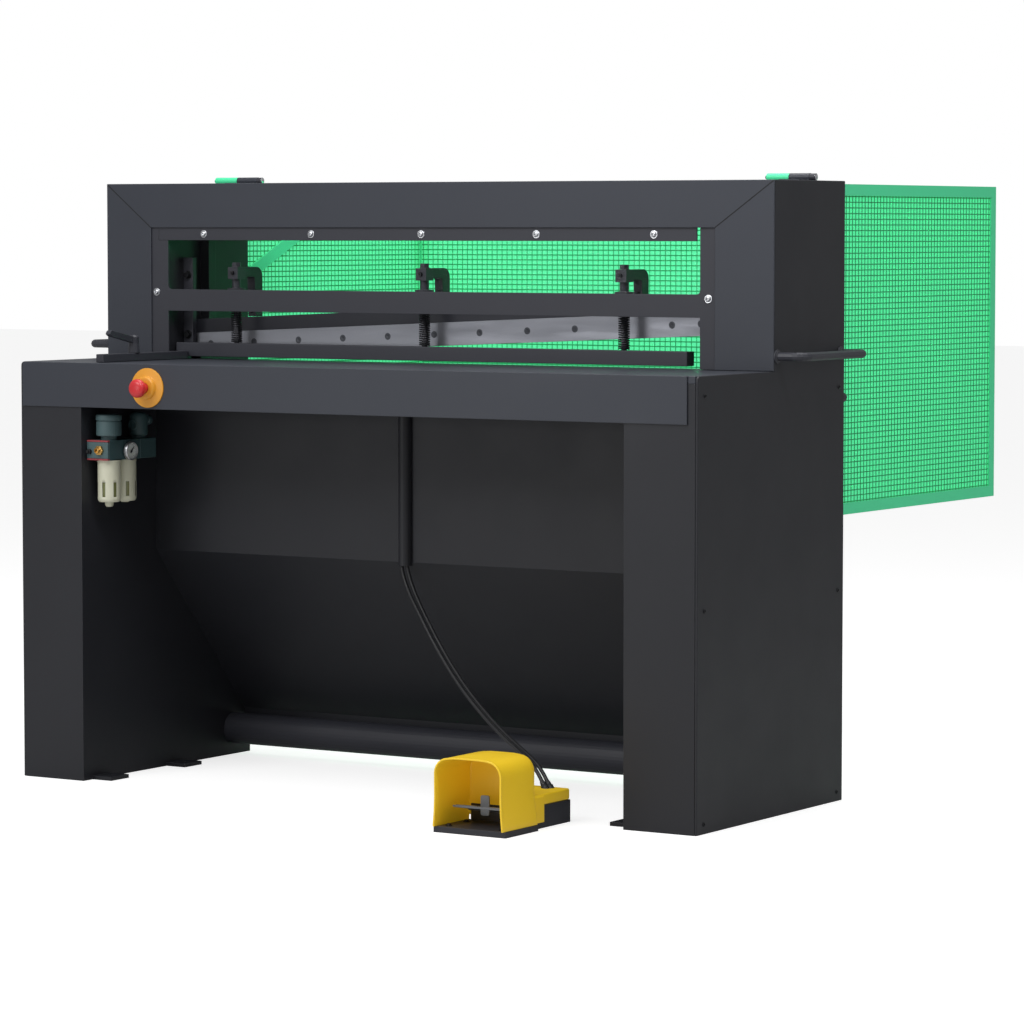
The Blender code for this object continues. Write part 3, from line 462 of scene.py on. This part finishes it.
def air_hoses():
    for side, sign in (("left", -1), ("right", 1)):
        route = [Vector(point) + sign * hose_shift(k) for k, point in enumerate(HOSE_ROUTE)]
        points = [at(*p) for p in smooth_route(route, 8)]
        curve = bpy.data.curves.new(f"{side}_hose", 'CURVE')
        curve.dimensions = '3D'
        curve.bevel_depth = HOSE_R * MM
        curve.bevel_resolution = 5
        curve.use_fill_caps = True
        line = curve.splines.new('POLY')
        line.points.add(len(points) - 1)
        for spot, point in zip(line.points, points):
            spot.co = (*point, 1.0)
        line.use_smooth = True
        curve.materials.append(M["hose_rubber"])
        hose = bpy.data.objects.new(f"{side}_hose", curve)
        bpy.context.scene.collection.objects.link(hose)
        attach(hose, "machine")
        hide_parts(f"{side}_air_hose")


# ------------------------------------------------------------------ screws and seams

def dome_screw(bm, centre, axis, radius, height, washer=0.0):
    """A domed head with a hexagon socket, on a washer if it has one."""
    base = 0.0
    if washer:
        lathe(bm, [(0, 0), (washer, 0), (washer, 1.0), (washer - 0.4, 1.4), (0, 1.4)], centre,
              axis, 24)
        base = 1.4
    rows = [(0, base), (radius, base), (radius, base + 0.3 * height),
            (0.93 * radius, base + 0.62 * height), (0.78 * radius, base + 0.88 * height),
            (0.6 * radius, base + height), (0.42 * radius, base + height, six_sided),
            (0.4 * radius, base + 0.25 * height, six_sided), (0, base + 0.2 * height)]
    lathe(bm, rows, centre, axis, 24)


def flat_screw(bm, centre, axis, radius):
    """A countersunk head almost level with the face, with its hexagon socket."""
    lathe(bm, [(0, 0), (radius, 0), (radius, 0.08), (radius - 0.4, 0.14), (0.52 * radius, 0.14),
               (0.46 * radius, 0.12, six_sided), (0.44 * radius, 0.05, six_sided), (0, 0.04)],
          centre, axis, 24)


def hex_bolt(bm, centre, axis, across, height, washer=0.0):
    base = 0.0
    if washer:
        lathe(bm, [(0, 0), (washer, 0), (washer, 1.2), (washer - 0.4, 1.5), (0, 1.5)], centre,
              axis, 24)
        base = 1.5
    half = across / 2
    lathe(bm, [(0, base), (half, base, six_sided), (half, base + 0.8 * height, six_sided),
               (half * 0.98, base + height), (0, base + height)], centre, axis, 24)


PANEL_SCREW = (4.6, 2.2)              # radius and height of the heads on the side panels
PANEL_SCREW_Y = (28, DEPTH - 24)
PANEL_SCREW_Z = (20, 440, 861)
GUARD_BOLT = (6.2, 4.2)
GUARD_WASHER = 8.6
STRIP_BOLT_X = (262.7, 548.3, 831.3, 1117.7, 1399.9)
POST_BOLTS = ((133.8, 1047), (1527.5, 1044))      # x and z
COVER_OPENING_X = (121.0, 1544.0)
COVER_OPENING_TOP = 1188.0
SEAM_WIDE = 2.4
BLADE_SCREW_X = (226, 343, 462, 579, 696, 815, 930, 1049, 1166, 1283, 1400, 1468)


def panel_screws():
    for side, x, out in (("left", 0.0, -1), ("right", WIDTH, 1)):
        bm = bmesh.new()
        for y in PANEL_SCREW_Y:
            for z in PANEL_SCREW_Z:
                dome_screw(bm, (x, y, z), (out, 0, 0), *PANEL_SCREW)
        piece(f"{side}_panel_screws", bm, SOCKET_BLACK, "machine")


def guard_bolts():
    bm = bmesh.new()
    strip_z = (STRIP_LOW.z + COVER_HIGH.z - 96) / 2
    for x in STRIP_BOLT_X:
        dome_screw(bm, (x, STRIP_LOW.y, strip_z), (0, -1, 0), *GUARD_BOLT, GUARD_WASHER)
    for x, z in POST_BOLTS:
        dome_screw(bm, (x, GUARD_LOW.y, z), (0, -1, 0), *GUARD_BOLT, GUARD_WASHER)
    piece("guard_bolts", bm, M["zinc_screws"], "machine")


def cover_seams():
    """The two mitred joints of the front cover, each a thin dark line from corner to corner."""
    bm = bmesh.new()
    y = COVER_LOW.y
    for corner_x, inner_x in zip((2, WIDTH - 2), COVER_OPENING_X):
        start = Vector((corner_x, HEIGHT - 2))
        end = Vector((inner_x, COVER_OPENING_TOP))
        along = (end - start).normalized()
        across = Vector((-along.y, along.x)) * SEAM_WIDE / 2
        outline = [start - across, end - across, end + across, start + across]
        slab(bm, [(p.x, y + 0.2, p.y) for p in outline], (0, -0.35, 0))
    piece("cover_seams", bm, SEAM, "machine")


def blade_screws():
    bm = bmesh.new()
    for x in BLADE_SCREW_X:
        z = BLADE_LOW.z + RAKE * (x - BLADE_LOW.x) + BLADE_TALL / 2
        flat_screw(bm, (x, BLADE_LOW.y, z), (0, -1, 0), 7.5)
    piece("blade_screws", bm, BLADE_SCREW, "ram")


# ------------------------------------------------------------------ ram, guides and hold-down

GIB_WALLS = (("left", 163.6, 1), ("right", 1512.4, -1))     # inner wall, and the way in from it
GIB_WIDE = 26.0
GIB_Y = (366.0, 379.5)
GIB_Z = (914.0, 1122.0)
GIB_BOLT_Z = (953, 1018, 1084)
STOP_WIDE = 32.0
STOP_Y, STOP_Z = (429.6, 459.0), (1171.0, 1188.0)
ARM_FRONT = 402.0             # front face of the goose-neck arms' feet


def guide_gibs():
    """Strips in front of the blade bar at both walls, each held by three bolts."""
    for side, near, out in GIB_WALLS:
        xs = tuple(sorted((near, near + out * GIB_WIDE)))
        middle = near + out * GIB_WIDE / 2
        bm = bmesh.new()
        block(bm, xs, GIB_Y, GIB_Z)
        piece(f"{side}_gib_strip", bm, M["black_paint"], "machine", bevel=1.2)
        bm = bmesh.new()
        for z in GIB_BOLT_Z:
            hex_bolt(bm, (middle, GIB_Y[0], z), (0, -1, 0), 13, 7, washer=9.5)
        piece(f"{side}_gib_bolts", bm, SOCKET_BLACK, "machine")
        bm = bmesh.new()
        block(bm, tuple(sorted((near, near + out * STOP_WIDE))), STOP_Y, STOP_Z)
        piece(f"{side}_rail_stop", bm, M["black_paint"], "machine", bevel=1.0)


SPRING_WIRE = 1.6             # radius of the wire
SPRING_TURNS = 24
DEAD_TURNS = 1.0              # closed turns at each end


def coil_springs():
    """Compression springs with closed ends, in place of the plain tubes."""
    wire, turns, dead, steps = SPRING_WIRE, SPRING_TURNS, DEAD_TURNS, 16
    mean = (SPRING_HIGH.x - SPRING_LOW.x) / 2 - wire
    low, high = SPRING_LOW.z + wire, SPRING_HIGH.z - wire
    for side, x in zip(THIRDS, ROD_X):
        points = []
        for k in range(turns * steps + 1):
            turn = k / steps
            share = min(1, max(0, (turn - dead) / (turns - 2 * dead)))
            lift = wire * 1.9 * (min(turn, dead) + max(0, turn - turns + dead))
            rise = low + lift + share * (high - low - wire * 3.8 * dead)
            angle = 2 * math.pi * turn
            points.append((x + mean * math.cos(angle), ROD_Y + mean * math.sin(angle), rise))
        bm = bmesh.new()
        tube(bm, points, wire, 6)
        spring = piece(f"{side}_coil_spring", bm, M["spring_steel"], "hold_down",
                       [f"{side}_hold_down_spring"])
        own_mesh(spring)


ROD_SCREW_Z = 1089.5          # the screw that clamps each arm's block to its rod
THREAD_PITCH, THREAD_DEPTH, THREAD_ROWS = 1.2, 0.5, 132


def rod_nuts():
    """Threaded rods with a washer and a nut on top, and the screws of the arms."""
    for side, x in zip(THIRDS, ROD_X):
        low = span(f"{side}_hold_down_rod")[0].z
        bm = bmesh.new()
        lathe(bm, [(0, low), (6, low), (6, low + 4)]
              + [(6 - THREAD_DEPTH * (k % 2), low + 4 + THREAD_PITCH * k)
                 for k in range(THREAD_ROWS)]
              + [(6, ROD_TOP - 9.6), (10.4, ROD_TOP - 9.6), (10.4, ROD_TOP - 8.2),
                 (9, ROD_TOP - 8.1, six_sided), (9, ROD_TOP - 0.8, six_sided),
                 (9.0, ROD_TOP), (5.4, ROD_TOP), (5, ROD_TOP - 4, six_sided), (0, ROD_TOP - 4)],
              (x, ROD_Y, 0), steps=24)
        piece(f"{side}_rod", bm, M["black_paint"], "hold_down",
              [f"{side}_hold_down_rod"])
        bm = bmesh.new()
        arm_low = span(f"{side}_clamp_arm")[0].z
        hex_bolt(bm, (x, ROD_Y - 14, ROD_SCREW_Z), (0, -1, 0), 8, 5)
        for lift in (12, 34):
            dome_screw(bm, (x, ARM_FRONT, arm_low + lift), (0, -1, 0), 4.2, 3.2)
        piece(f"{side}_arm_screws", bm, SOCKET_BLACK, "ram")


# ------------------------------------------------------------------ emergency stop

def emergency_stop():
    x = (ESTOP_LOW.x + ESTOP_HIGH.x) / 2
    z = (ESTOP_LOW.z + ESTOP_HIGH.z) / 2
    face = ESTOP_HIGH.y
    bm = bmesh.new()
    lathe(bm, [(11.6, 1.6), (11.6, 13.6), (21.5, 13.6), (23.2, 12.8), (24.2, 11.2),
               (25.0, 5.0), (27.5, 3.9), (40.0, 3.2), (41.6, 2.6), (42, 1.6), (42, 0), (30, 0),
               (11.6, 0), (11.6, 1.6)], (x, face, z), (0, -1, 0), 64)
    piece("stop_disc", bm, M["yellow_plastic"], "machine", ["estop_disc"])
    low, high = span("estop_button")
    top = high.y
    bm = bmesh.new()
    lathe(bm, [(0, 0.2), (10.8, 0.2), (10.8, 20), (15.5, 20.6), (19.2, 22.4),
               (20, 25, ribbed(20, 0.03)), (19.8, 29, ribbed(20, 0.03)), (18.6, 32.2),
               (16.2, 35.0), (12.5, 36.9), (7.5, 37.8), (0, 38)], (x, top, z), (0, -1, 0), 80)
    piece("stop_mushroom", bm, M["red_plastic"], "emergency_button",
          ["estop_button"])


# ------------------------------------------------------------------ air service unit

UNIT_X = 199.0                # the knob, bowls and dome stand on this line
FRONT_BOWL_Y, REAR_BOWL_Y, DOME_Y = 50.0, 105.0, 154.0
MODULE_Y = ((24, 77.2), (78, 131.4), (132.2, 188))
JOINT_Y = ((76, 79.2), (130.2, 133.4))
PLATE_FRONT = 17.5
SLOT_WIDE = 7.5
SLOT_Z = (612.0, 643.5)
BOWL_R = 24.6
SLOTS = 6                     # round each bowl


def service_unit():
    x0, x1 = UNIT_LOW.x, UNIT_HIGH.x
    z0, z1 = UNIT_LOW.z, UNIT_HIGH.z
    middle_z = (z0 + z1) / 2
    bm = bmesh.new()
    for ys in MODULE_Y:
        block(bm, (x0, x1), ys, (z0, z1))
    for ys in JOINT_Y:
        block(bm, (x0, x1 - 2.5), ys, (z0 + 2, z1 - 2))
    piece("unit_modules", bm, M["dark_teal_plastic"], "machine",
          ["service_unit_body"], bevel=1.8)
    bm = bmesh.new()
    block(bm, (x0 + 1, x1), (PLATE_FRONT, 24.4), (z0 + 4, z1 - 4))
    piece("unit_front_plate", bm, M["teal_plastic"], "machine", bevel=1.0)
    bm = bmesh.new()
    for low, high in ((z0, z0 + 3.6), (z1 - 3.6, z1)):
        block(bm, (x0 + 1, x1), (17.2, 25.0), (low, high))
    piece("unit_front_edges", bm, PINK_EDGE, "machine", bevel=0.8)
    bm = bmesh.new()
    lathe(bm, [(0, 0), (9.4, 0, six_sided), (9.4, 4.6, six_sided), (7.4, 5.4), (7.4, 6.4),
               (6.2, 6.8), (6.2, 12.2), (4.4, 12.5), (4.4, 7), (0, 6.8)],
          (UNIT_X, PLATE_FRONT, middle_z), (0, -1, 0), 24)
    piece("inlet_fitting", bm, M["plain_brass"], "machine")
    bm = bmesh.new()
    lathe(bm, [(0, 0), (5.6, 0), (5.6, 6), (3.6, 6.6), (3.6, 10), (0, 10)],
          (x0 + 9, PLATE_FRONT, middle_z - 3), (0, -1, 0), 20)
    piece("side_plug", bm, SOCKET_BLACK, "machine")
    regulator_knob()
    for name, place, first in (("front_bowl", FRONT_BOWL_Y, 7.8), ("rear_bowl", REAR_BOWL_Y, 50.6)):
        bowl(name, UNIT_X, place, [first + 360 / SLOTS * k for k in range(SLOTS)], z0)
    gauge()
    lubricator(UNIT_X, DOME_Y, z1)


def regulator_knob():
    low, high = span("regulator_knob")
    x, y, z = (low.x + high.x) / 2, (low.y + high.y) / 2, low.z
    tall = high.z - low.z
    rib = ribbed(40, 0.02)
    bm = bmesh.new()
    lathe(bm, [(0, 0), (17, 0), (17, 7.5), (25.6, 8.4), (26.8, 10, rib), (27, 12, rib),
               (27, tall - 17, rib), (26.4, tall - 16), (24.9, tall - 15.4),
               (24.9, tall - 13.6), (27.4, tall - 12.8), (28, tall - 11.6),
               (28, tall - 3.4), (27, tall - 1.2), (24.5, tall), (0, tall)],
          (x, y, z), steps=160)
    piece("adjusting_knob", bm, M["teal_plastic"], "pressure_knob",
          ["regulator_knob"], angle=50)


def bowl(name, x, y, turns, top):
    """A cream bowl guard with slots all round, over an olive sight bowl."""
    low = span(name)[0].z
    radius = BOWL_R
    half_slot = math.degrees(SLOT_WIDE / 2 / radius)
    heights = [top - 0.4, top - 3, SLOT_Z[1] + 8, SLOT_Z[1], SLOT_Z[0], 607.5, 603.5, 600.8]
    radii = [radius, radius, radius, radius, radius, radius, radius - 1.0, radius - 3.4]
    bm = bmesh.new()
    lathe(bm, list(zip(radii, heights)) + [(9.5, 600.2), (8.2, 599.6)], (x, y, 0), steps=120)
    gone = []
    for face in bm.faces:
        centre = face.calc_center_median()
        if SLOT_Z[0] < centre.z < SLOT_Z[1]:
            heading = math.degrees(math.atan2(centre.x - x, -(centre.y - y))) % 360
            if any(abs((heading - turn + 180) % 360 - 180) < half_slot for turn in turns):
                gone.append(face)
    bmesh.ops.delete(bm, geom=gone, context='FACES')
    shell = piece(f"{name}_shell", bm, M["cream_plastic"], "machine", [name])
    wall = shell.modifiers.new("Solidify", 'SOLIDIFY')
    wall.thickness = 1.1 * MM
    wall.offset = -1
    bm = bmesh.new()
    lathe(bm, [(0, top - 6), (22.2, top - 6), (22.2, 608), (20, 604.5), (0, 604.5)],
          (x, y, 0), steps=48)
    piece(f"{name}_sight", bm, SIGHT, "machine")
    bm = bmesh.new()
    drain = [(0, 600.5), (9.2, 600.5), (9.2, 594), (8.6, 592.6), (7, 592), (7, low + 0.4),
             (3, low), (0, low + 2)]
    closed = [(0, 600.5), (9.2, 600.5), (9.2, 598.6), (8.4, 597.8), (0, 597.8)]
    lathe(bm, drain if name == "front_bowl" else closed, (x, y, 0), steps=32)
    piece(f"{name}_drain", bm, M["cream_plastic"], "machine")
    bm = bmesh.new()
    lathe(bm, [(radius - 1.5, top - 0.4), (radius + 0.8, top - 0.4), (radius + 0.8, top - 4.4),
               (radius - 1.5, top - 4.4), (radius - 1.5, top - 0.4)], (x, y, 0), steps=48)
    piece(f"{name}_collar", bm, M["cream_plastic"], "machine")


def gauge():
    low, high = GAUGE_LOW, GAUGE_HIGH
    y, z = (low.y + high.y) / 2, (low.z + high.z) / 2
    radius = (high.y - low.y) / 2
    deep = high.x - low.x
    bm = bmesh.new()
    lathe(bm, [(0, 0), (6, 0), (6, 3), (radius - 1.2, 3), (radius, 4.2), (radius, deep - 1.4),
               (radius - 0.6, deep - 0.4), (radius - 1.4, deep), (radius - 2.2, deep - 0.5),
               (radius - 2.4, deep - 5.4), (0, deep - 5.4)], (low.x, y, z), (1, 0, 0), 64)
    piece("gauge_case", bm, M["machined_aluminium"], "machine",
          ["pressure_gauge"])
    face = low.x + deep - 5.3
    bm = bmesh.new()
    lathe(bm, [(0, 0), (radius - 2.5, 0), (radius - 2.5, 0.5), (0, 0.5)], (face, y, z),
          (1, 0, 0), 64)
    piece("gauge_dial", bm, DIAL, "machine")
    bm = bmesh.new()
    for k in range(21):
        angle = math.radians(-135 + 13.5 * k)
        out = Vector((0, math.sin(angle), math.cos(angle)))
        side = Vector((0, math.cos(angle), -math.sin(angle))) * (0.45 if k % 5 == 0 else 0.25)
        tall = 3.6 if k % 5 == 0 else 2.0
        start = Vector((face + 0.45, y, z)) + out * (radius - 3.4 - tall)
        outline = [start - side, start + out * tall - side, start + out * tall + side,
                   start + side]
        slab(bm, outline, (0.2, 0, 0))
    lathe(bm, [(0, 0), (1.8, 0), (1.8, 3.2), (0, 3.4)], (face + 0.5, y, z), (1, 0, 0), 16)
    piece("gauge_marks", bm, SOCKET_BLACK, "machine")


def lubricator(x, y, base):
    low, high = span("lubricator_dome")
    tall = high.z - base
    bm = bmesh.new()
    lathe(bm, [(0, 0.4), (15, 0.4), (15, 5), (18.4, 5.9), (19.7, 7.3), (20, 9.5),
               (20, tall - 13), (19.2, tall - 7.5), (16.8, tall - 3.2), (12.5, tall - 0.9),
               (7, tall), (0, tall)], (x, y, base), steps=48)
    lathe(bm, [(0, 0), (9.6, 0), (9.6, high.y - y - 13), (11, high.y - y - 11.5),
               (11, high.y - y - 2), (10, high.y - y), (6, high.y - y), (6, high.y - y - 3),
               (0, high.y - y - 3)], (x, y, base + 38), (0, 1, 0), 32)
    piece("oiler_dome", bm, M["dark_teal_plastic"], "machine",
          ["lubricator_dome"])
    bm = bmesh.new()
    lathe(bm, [(9.5, 0), (11.4, 0), (11.4, 2.2), (10.6, 3), (9.5, 3)], (x, y - 19.2, base + 28),
          (0, -1, 0), 32)
    piece("oiler_sight_rim", bm, M["teal_plastic"], "machine")


# ------------------------------------------------------------------ foot valve

SHELL_BACK = -104.0          # where the yellow guard's back wall stands
SHELL_CORNER = 32.0
SHELL_THICK = 3.6
NECK_BACK = -66.0            # end of the step beside the valve box
BOX_X = (1226.0, 1366.0)     # sides of the valve box
CAP_LOW, CAP_TALL = 45.6, 22.2
CAP_CORNER = 6.0
NECK_TOP = 68.4
TREADLE_SLOPE = 0.148        # fall of its top per length
TREADLE_RIBS = 5


def arch_line(flare):
    """Cross-section of the yellow guard from left foot to right foot: (half-width, height)."""
    top = GUARD_SHELL_HIGH.z
    half = (GUARD_SHELL_HIGH.x - GUARD_SHELL_LOW.x) / 2
    foot = GUARD_SHELL_LOW.z
    corner = SHELL_CORNER
    wall = half - 3.5 + flare
    side = [(half, foot), (half - 0.9, foot + 10), (half - 2.6, foot + 30),
            (half - 3.7 + flare, foot + 58), (wall, top - corner - 12), (wall, top - corner)]
    bend = [(wall - corner + corner * math.cos(a), top - 2 - corner + corner * math.sin(a))
            for a in (math.radians(15 * k) for k in range(1, 6))]
    roof = [(wall - corner - 2, top - 1.4), (wall * 0.35, top - 0.2), (0, top)]
    right = side + bend + roof
    return [(-u, v) for u, v in right[:-1]] + right[::-1]


def foot_guard():
    x = (GUARD_SHELL_LOW.x + GUARD_SHELL_HIGH.x) / 2
    front, rear = GUARD_SHELL_LOW.y, span("foot_valve_base")[1].y
    back = SHELL_BACK
    stations = [(front + 0.2, 0.0), (front + 1.4, -0.4), (front + 4, -1.6), (front + 12, -2.2),
                (front + 50, -2.0), (back - 12, -1.2), (back - 3, -2.0), (back, -4.5)]
    bm = bmesh.new()
    rings = []
    for y, grow in stations:
        rings.append([bm.verts.new((x + u, y, v)) for u, v in arch_line(grow)])
    for before, after in zip(rings, rings[1:]):
        for a, b, c, d in zip(before, before[1:], after[1:], after):
            bm.faces.new((a, b, c, d))
    bm.faces.new([vert for vert in rings[-1] if vert.co.z > GUARD_SHELL_LOW.z + 9])
    shell = piece("guard_shell", bm, FOOT_YELLOW, "machine",
                  ["foot_guard"], angle=60)
    thick = shell.modifiers.new("Solidify", 'SOLIDIFY')
    thick.thickness = SHELL_THICK * MM
    thick.offset = -1
    thick.use_even_offset = True
    rounding = shell.modifiers.new("Bevel", 'BEVEL')
    rounding.width = 1.2 * MM
    rounding.segments = 3
    rounding.limit_method = 'ANGLE'
    rounding.angle_limit = math.radians(50)
    valve_top(rear)
    sleeves()
    base_details()


def valve_top(rear):
    low, high = BOX_X
    bm = bmesh.new()
    corner = CAP_CORNER
    outline = [(low, SHELL_BACK - 1), (high, SHELL_BACK - 1)]
    outline += [(high - corner + corner * math.cos(a), rear - corner + corner * math.sin(a))
                for a in (math.radians(15 * k) for k in range(7))]
    outline += [(low + corner + corner * math.cos(a), rear - corner + corner * math.sin(a))
                for a in (math.radians(90 + 15 * k) for k in range(7))]
    slab(bm, [(u, v, CAP_LOW) for u, v in outline], (0, 0, CAP_TALL))
    piece("valve_cap", bm, FOOT_YELLOW, "machine", bevel=3.5)
    bm = bmesh.new()
    foot, top, under = GUARD_SHELL_LOW.z, NECK_TOP, CAP_LOW + 0.1
    section = [(low - 5, foot), (low - 5, top - 5), (low - 1, top), (high + 1, top),
               (high + 5, top - 5), (high + 5, foot), (high + 0.4, foot), (high + 0.4, under),
               (low - 0.4, under), (low - 0.4, foot)]
    slab(bm, [(u, SHELL_BACK - 1, v) for u, v in section], (0, NECK_BACK - SHELL_BACK + 1, 0))
    piece("guard_neck", bm, FOOT_YELLOW, "machine", bevel=1.6)


def sleeves():
    """Slanted strain reliefs where the two hoses enter the valve."""
    before, end = (Vector(point) for point in HOSE_ROUTE[-2:])
    along = (before - end).normalized()
    bm = bmesh.new()
    for sign in (-1, 1):
        spot = end + sign * hose_shift(len(HOSE_ROUTE))
        rows = [(0, -16), (7.6, -16), (7.6, -5), (7.0, -4)]
        rows += [(6.6 - 0.25 * k - 0.55 * (k % 2), -3.6 + 2.0 * k) for k in range(6)]
        rows += [(4.7, 8.6), (4.25, 8.8), (4.25, -3), (0, -3)]
        lathe(bm, rows, spot, along, 28)
    piece("hose_sleeves", bm, M["hose_rubber"], "machine")


def base_details():
    """Screws that hold the guard to the base, and ribs along the treadle."""
    bm = bmesh.new()
    x0, x1 = FOOT_LOW.x, FOOT_HIGH.x
    for x in (x0 + 22, x1 - 22):
        for y in (FOOT_LOW.y + 22, -140.0):
            dome_screw(bm, (x, y, 12.0), (0, 0, 1), 5.0, 3.0, washer=7.0)
    piece("base_screws", bm, SOCKET_BLACK, "machine")
    low, high = span("foot_treadle")
    middle = (low.x + high.x) / 2
    bm = bmesh.new()
    for k in range(TREADLE_RIBS):
        y = low.y + 5 + 7 * k
        z = high.z + 0.9 - TREADLE_SLOPE * (y - low.y)
        for xs in ((low.x + 4, middle - 15), (middle + 15, high.x - 4)):
            block(bm, xs, (y, y + 2.4), (z - 2.4, z))
    piece("treadle_ribs", bm, M["grey_paint"], "treadle", bevel=0.5)


# ------------------------------------------------------------------ rear cage

WIRE_R = 1.4
PITCH_ACROSS, PITCH_UP = 14.2, 11.8
SHEET_IN = 4.4               # the wires' depth below the cage's faces, half in the tinted sheet
MESH_INSET = 14.0            # from the cage's edges to the outermost wires
MESH_FRONT = 618.0
CAGE_TOP = 1279.0            # upper face of the top rail


def stick(bm, start, end, radius=WIRE_R, sides=6):
    tube(bm, [start, end], radius, sides)


def cage_wires():
    """Welded wire on the two sides and the rear, its ends let into the rails."""
    inset = MESH_INSET
    x0, x1 = CAGE_LOW.x, CAGE_HIGH.x
    y0, y1 = MESH_FRONT, CAGE_HIGH.y
    z0, z1 = CAGE_LOW.z, CAGE_TOP
    bm = bmesh.new()
    count_y = round((y1 - y0 - 2 * inset) / PITCH_ACROSS)
    count_z = round((z1 - z0 - 2 * inset) / PITCH_UP)
    for face, step in ((x0, 1), (x1, -1)):
        upright, level = face + step * SHEET_IN, face + step * (SHEET_IN + 0.4)
        for k in range(count_y + 1):
            y = y0 + inset + (y1 - y0 - 2 * inset) * k / count_y
            stick(bm, (upright, y, z0 + 10), (upright, y, z1 - 10))
        for k in range(count_z + 1):
            z = z0 + inset + (z1 - z0 - 2 * inset) * k / count_z
            stick(bm, (level, y0 + 10, z), (level, y1 - 10, z))
    piece("side_wires", bm, M["green_wire"], "rear_guard")
    bm = bmesh.new()
    count_x = round((x1 - x0 - 2 * inset) / PITCH_ACROSS)
    for k in range(count_x + 1):
        x = x0 + inset + (x1 - x0 - 2 * inset) * k / count_x
        stick(bm, (x, y1 - SHEET_IN, z0 + 10), (x, y1 - SHEET_IN, z1 - 10))
    for k in range(count_z + 1):
        z = z0 + inset + (z1 - z0 - 2 * inset) * k / count_z
        stick(bm, (x0 + 10, y1 - SHEET_IN - 0.4, z), (x1 - 10, y1 - SHEET_IN - 0.4, z))
    piece("rear_wires", bm, M["green_wire"], "rear_guard")


def hinge_details():
    bm = bmesh.new()
    for node_name in ("left_hinge_pin", "right_hinge_pin"):
        low, high = span(node_name)
        y, z = (low.y + high.y) / 2, (low.z + high.z) / 2
        lathe(bm, [(0, 0), (6.2, 0), (6.2, 0.6), (4.2, 1.8), (0, 2.2)], (high.x, y, z),
              (1, 0, 0), 24)
    piece("pin_ends", bm, M["zinc_screws"], "machine")


def handle_details():
    """Round flanges where the grab bars meet the side panels."""
    for side, x, out in (("left", 0.0, -1), ("right", WIDTH, 1)):
        low, high = span(f"{side}_handle")
        z = (low.z + high.z) / 2
        bm = bmesh.new()
        for y in (low.y + 9, high.y - 9):
            lathe(bm, [(9.2, 0.2), (14, 0.2), (14, 2.2), (13.2, 3.0), (10.6, 3.4), (9.2, 5.4),
                       (9.2, 0.2)], (x, y, z), (out, 0, 0), 32)
        piece(f"{side}_handle_welds", bm, M["black_paint"], "machine")


camera()
air_hoses()
finish_cad()
stage()
panel_screws()
guard_bolts()
cover_seams()
blade_screws()
guide_gibs()
coil_springs()
rod_nuts()
emergency_stop()
service_unit()
foot_guard()
cage_wires()
hinge_details()
handle_details()
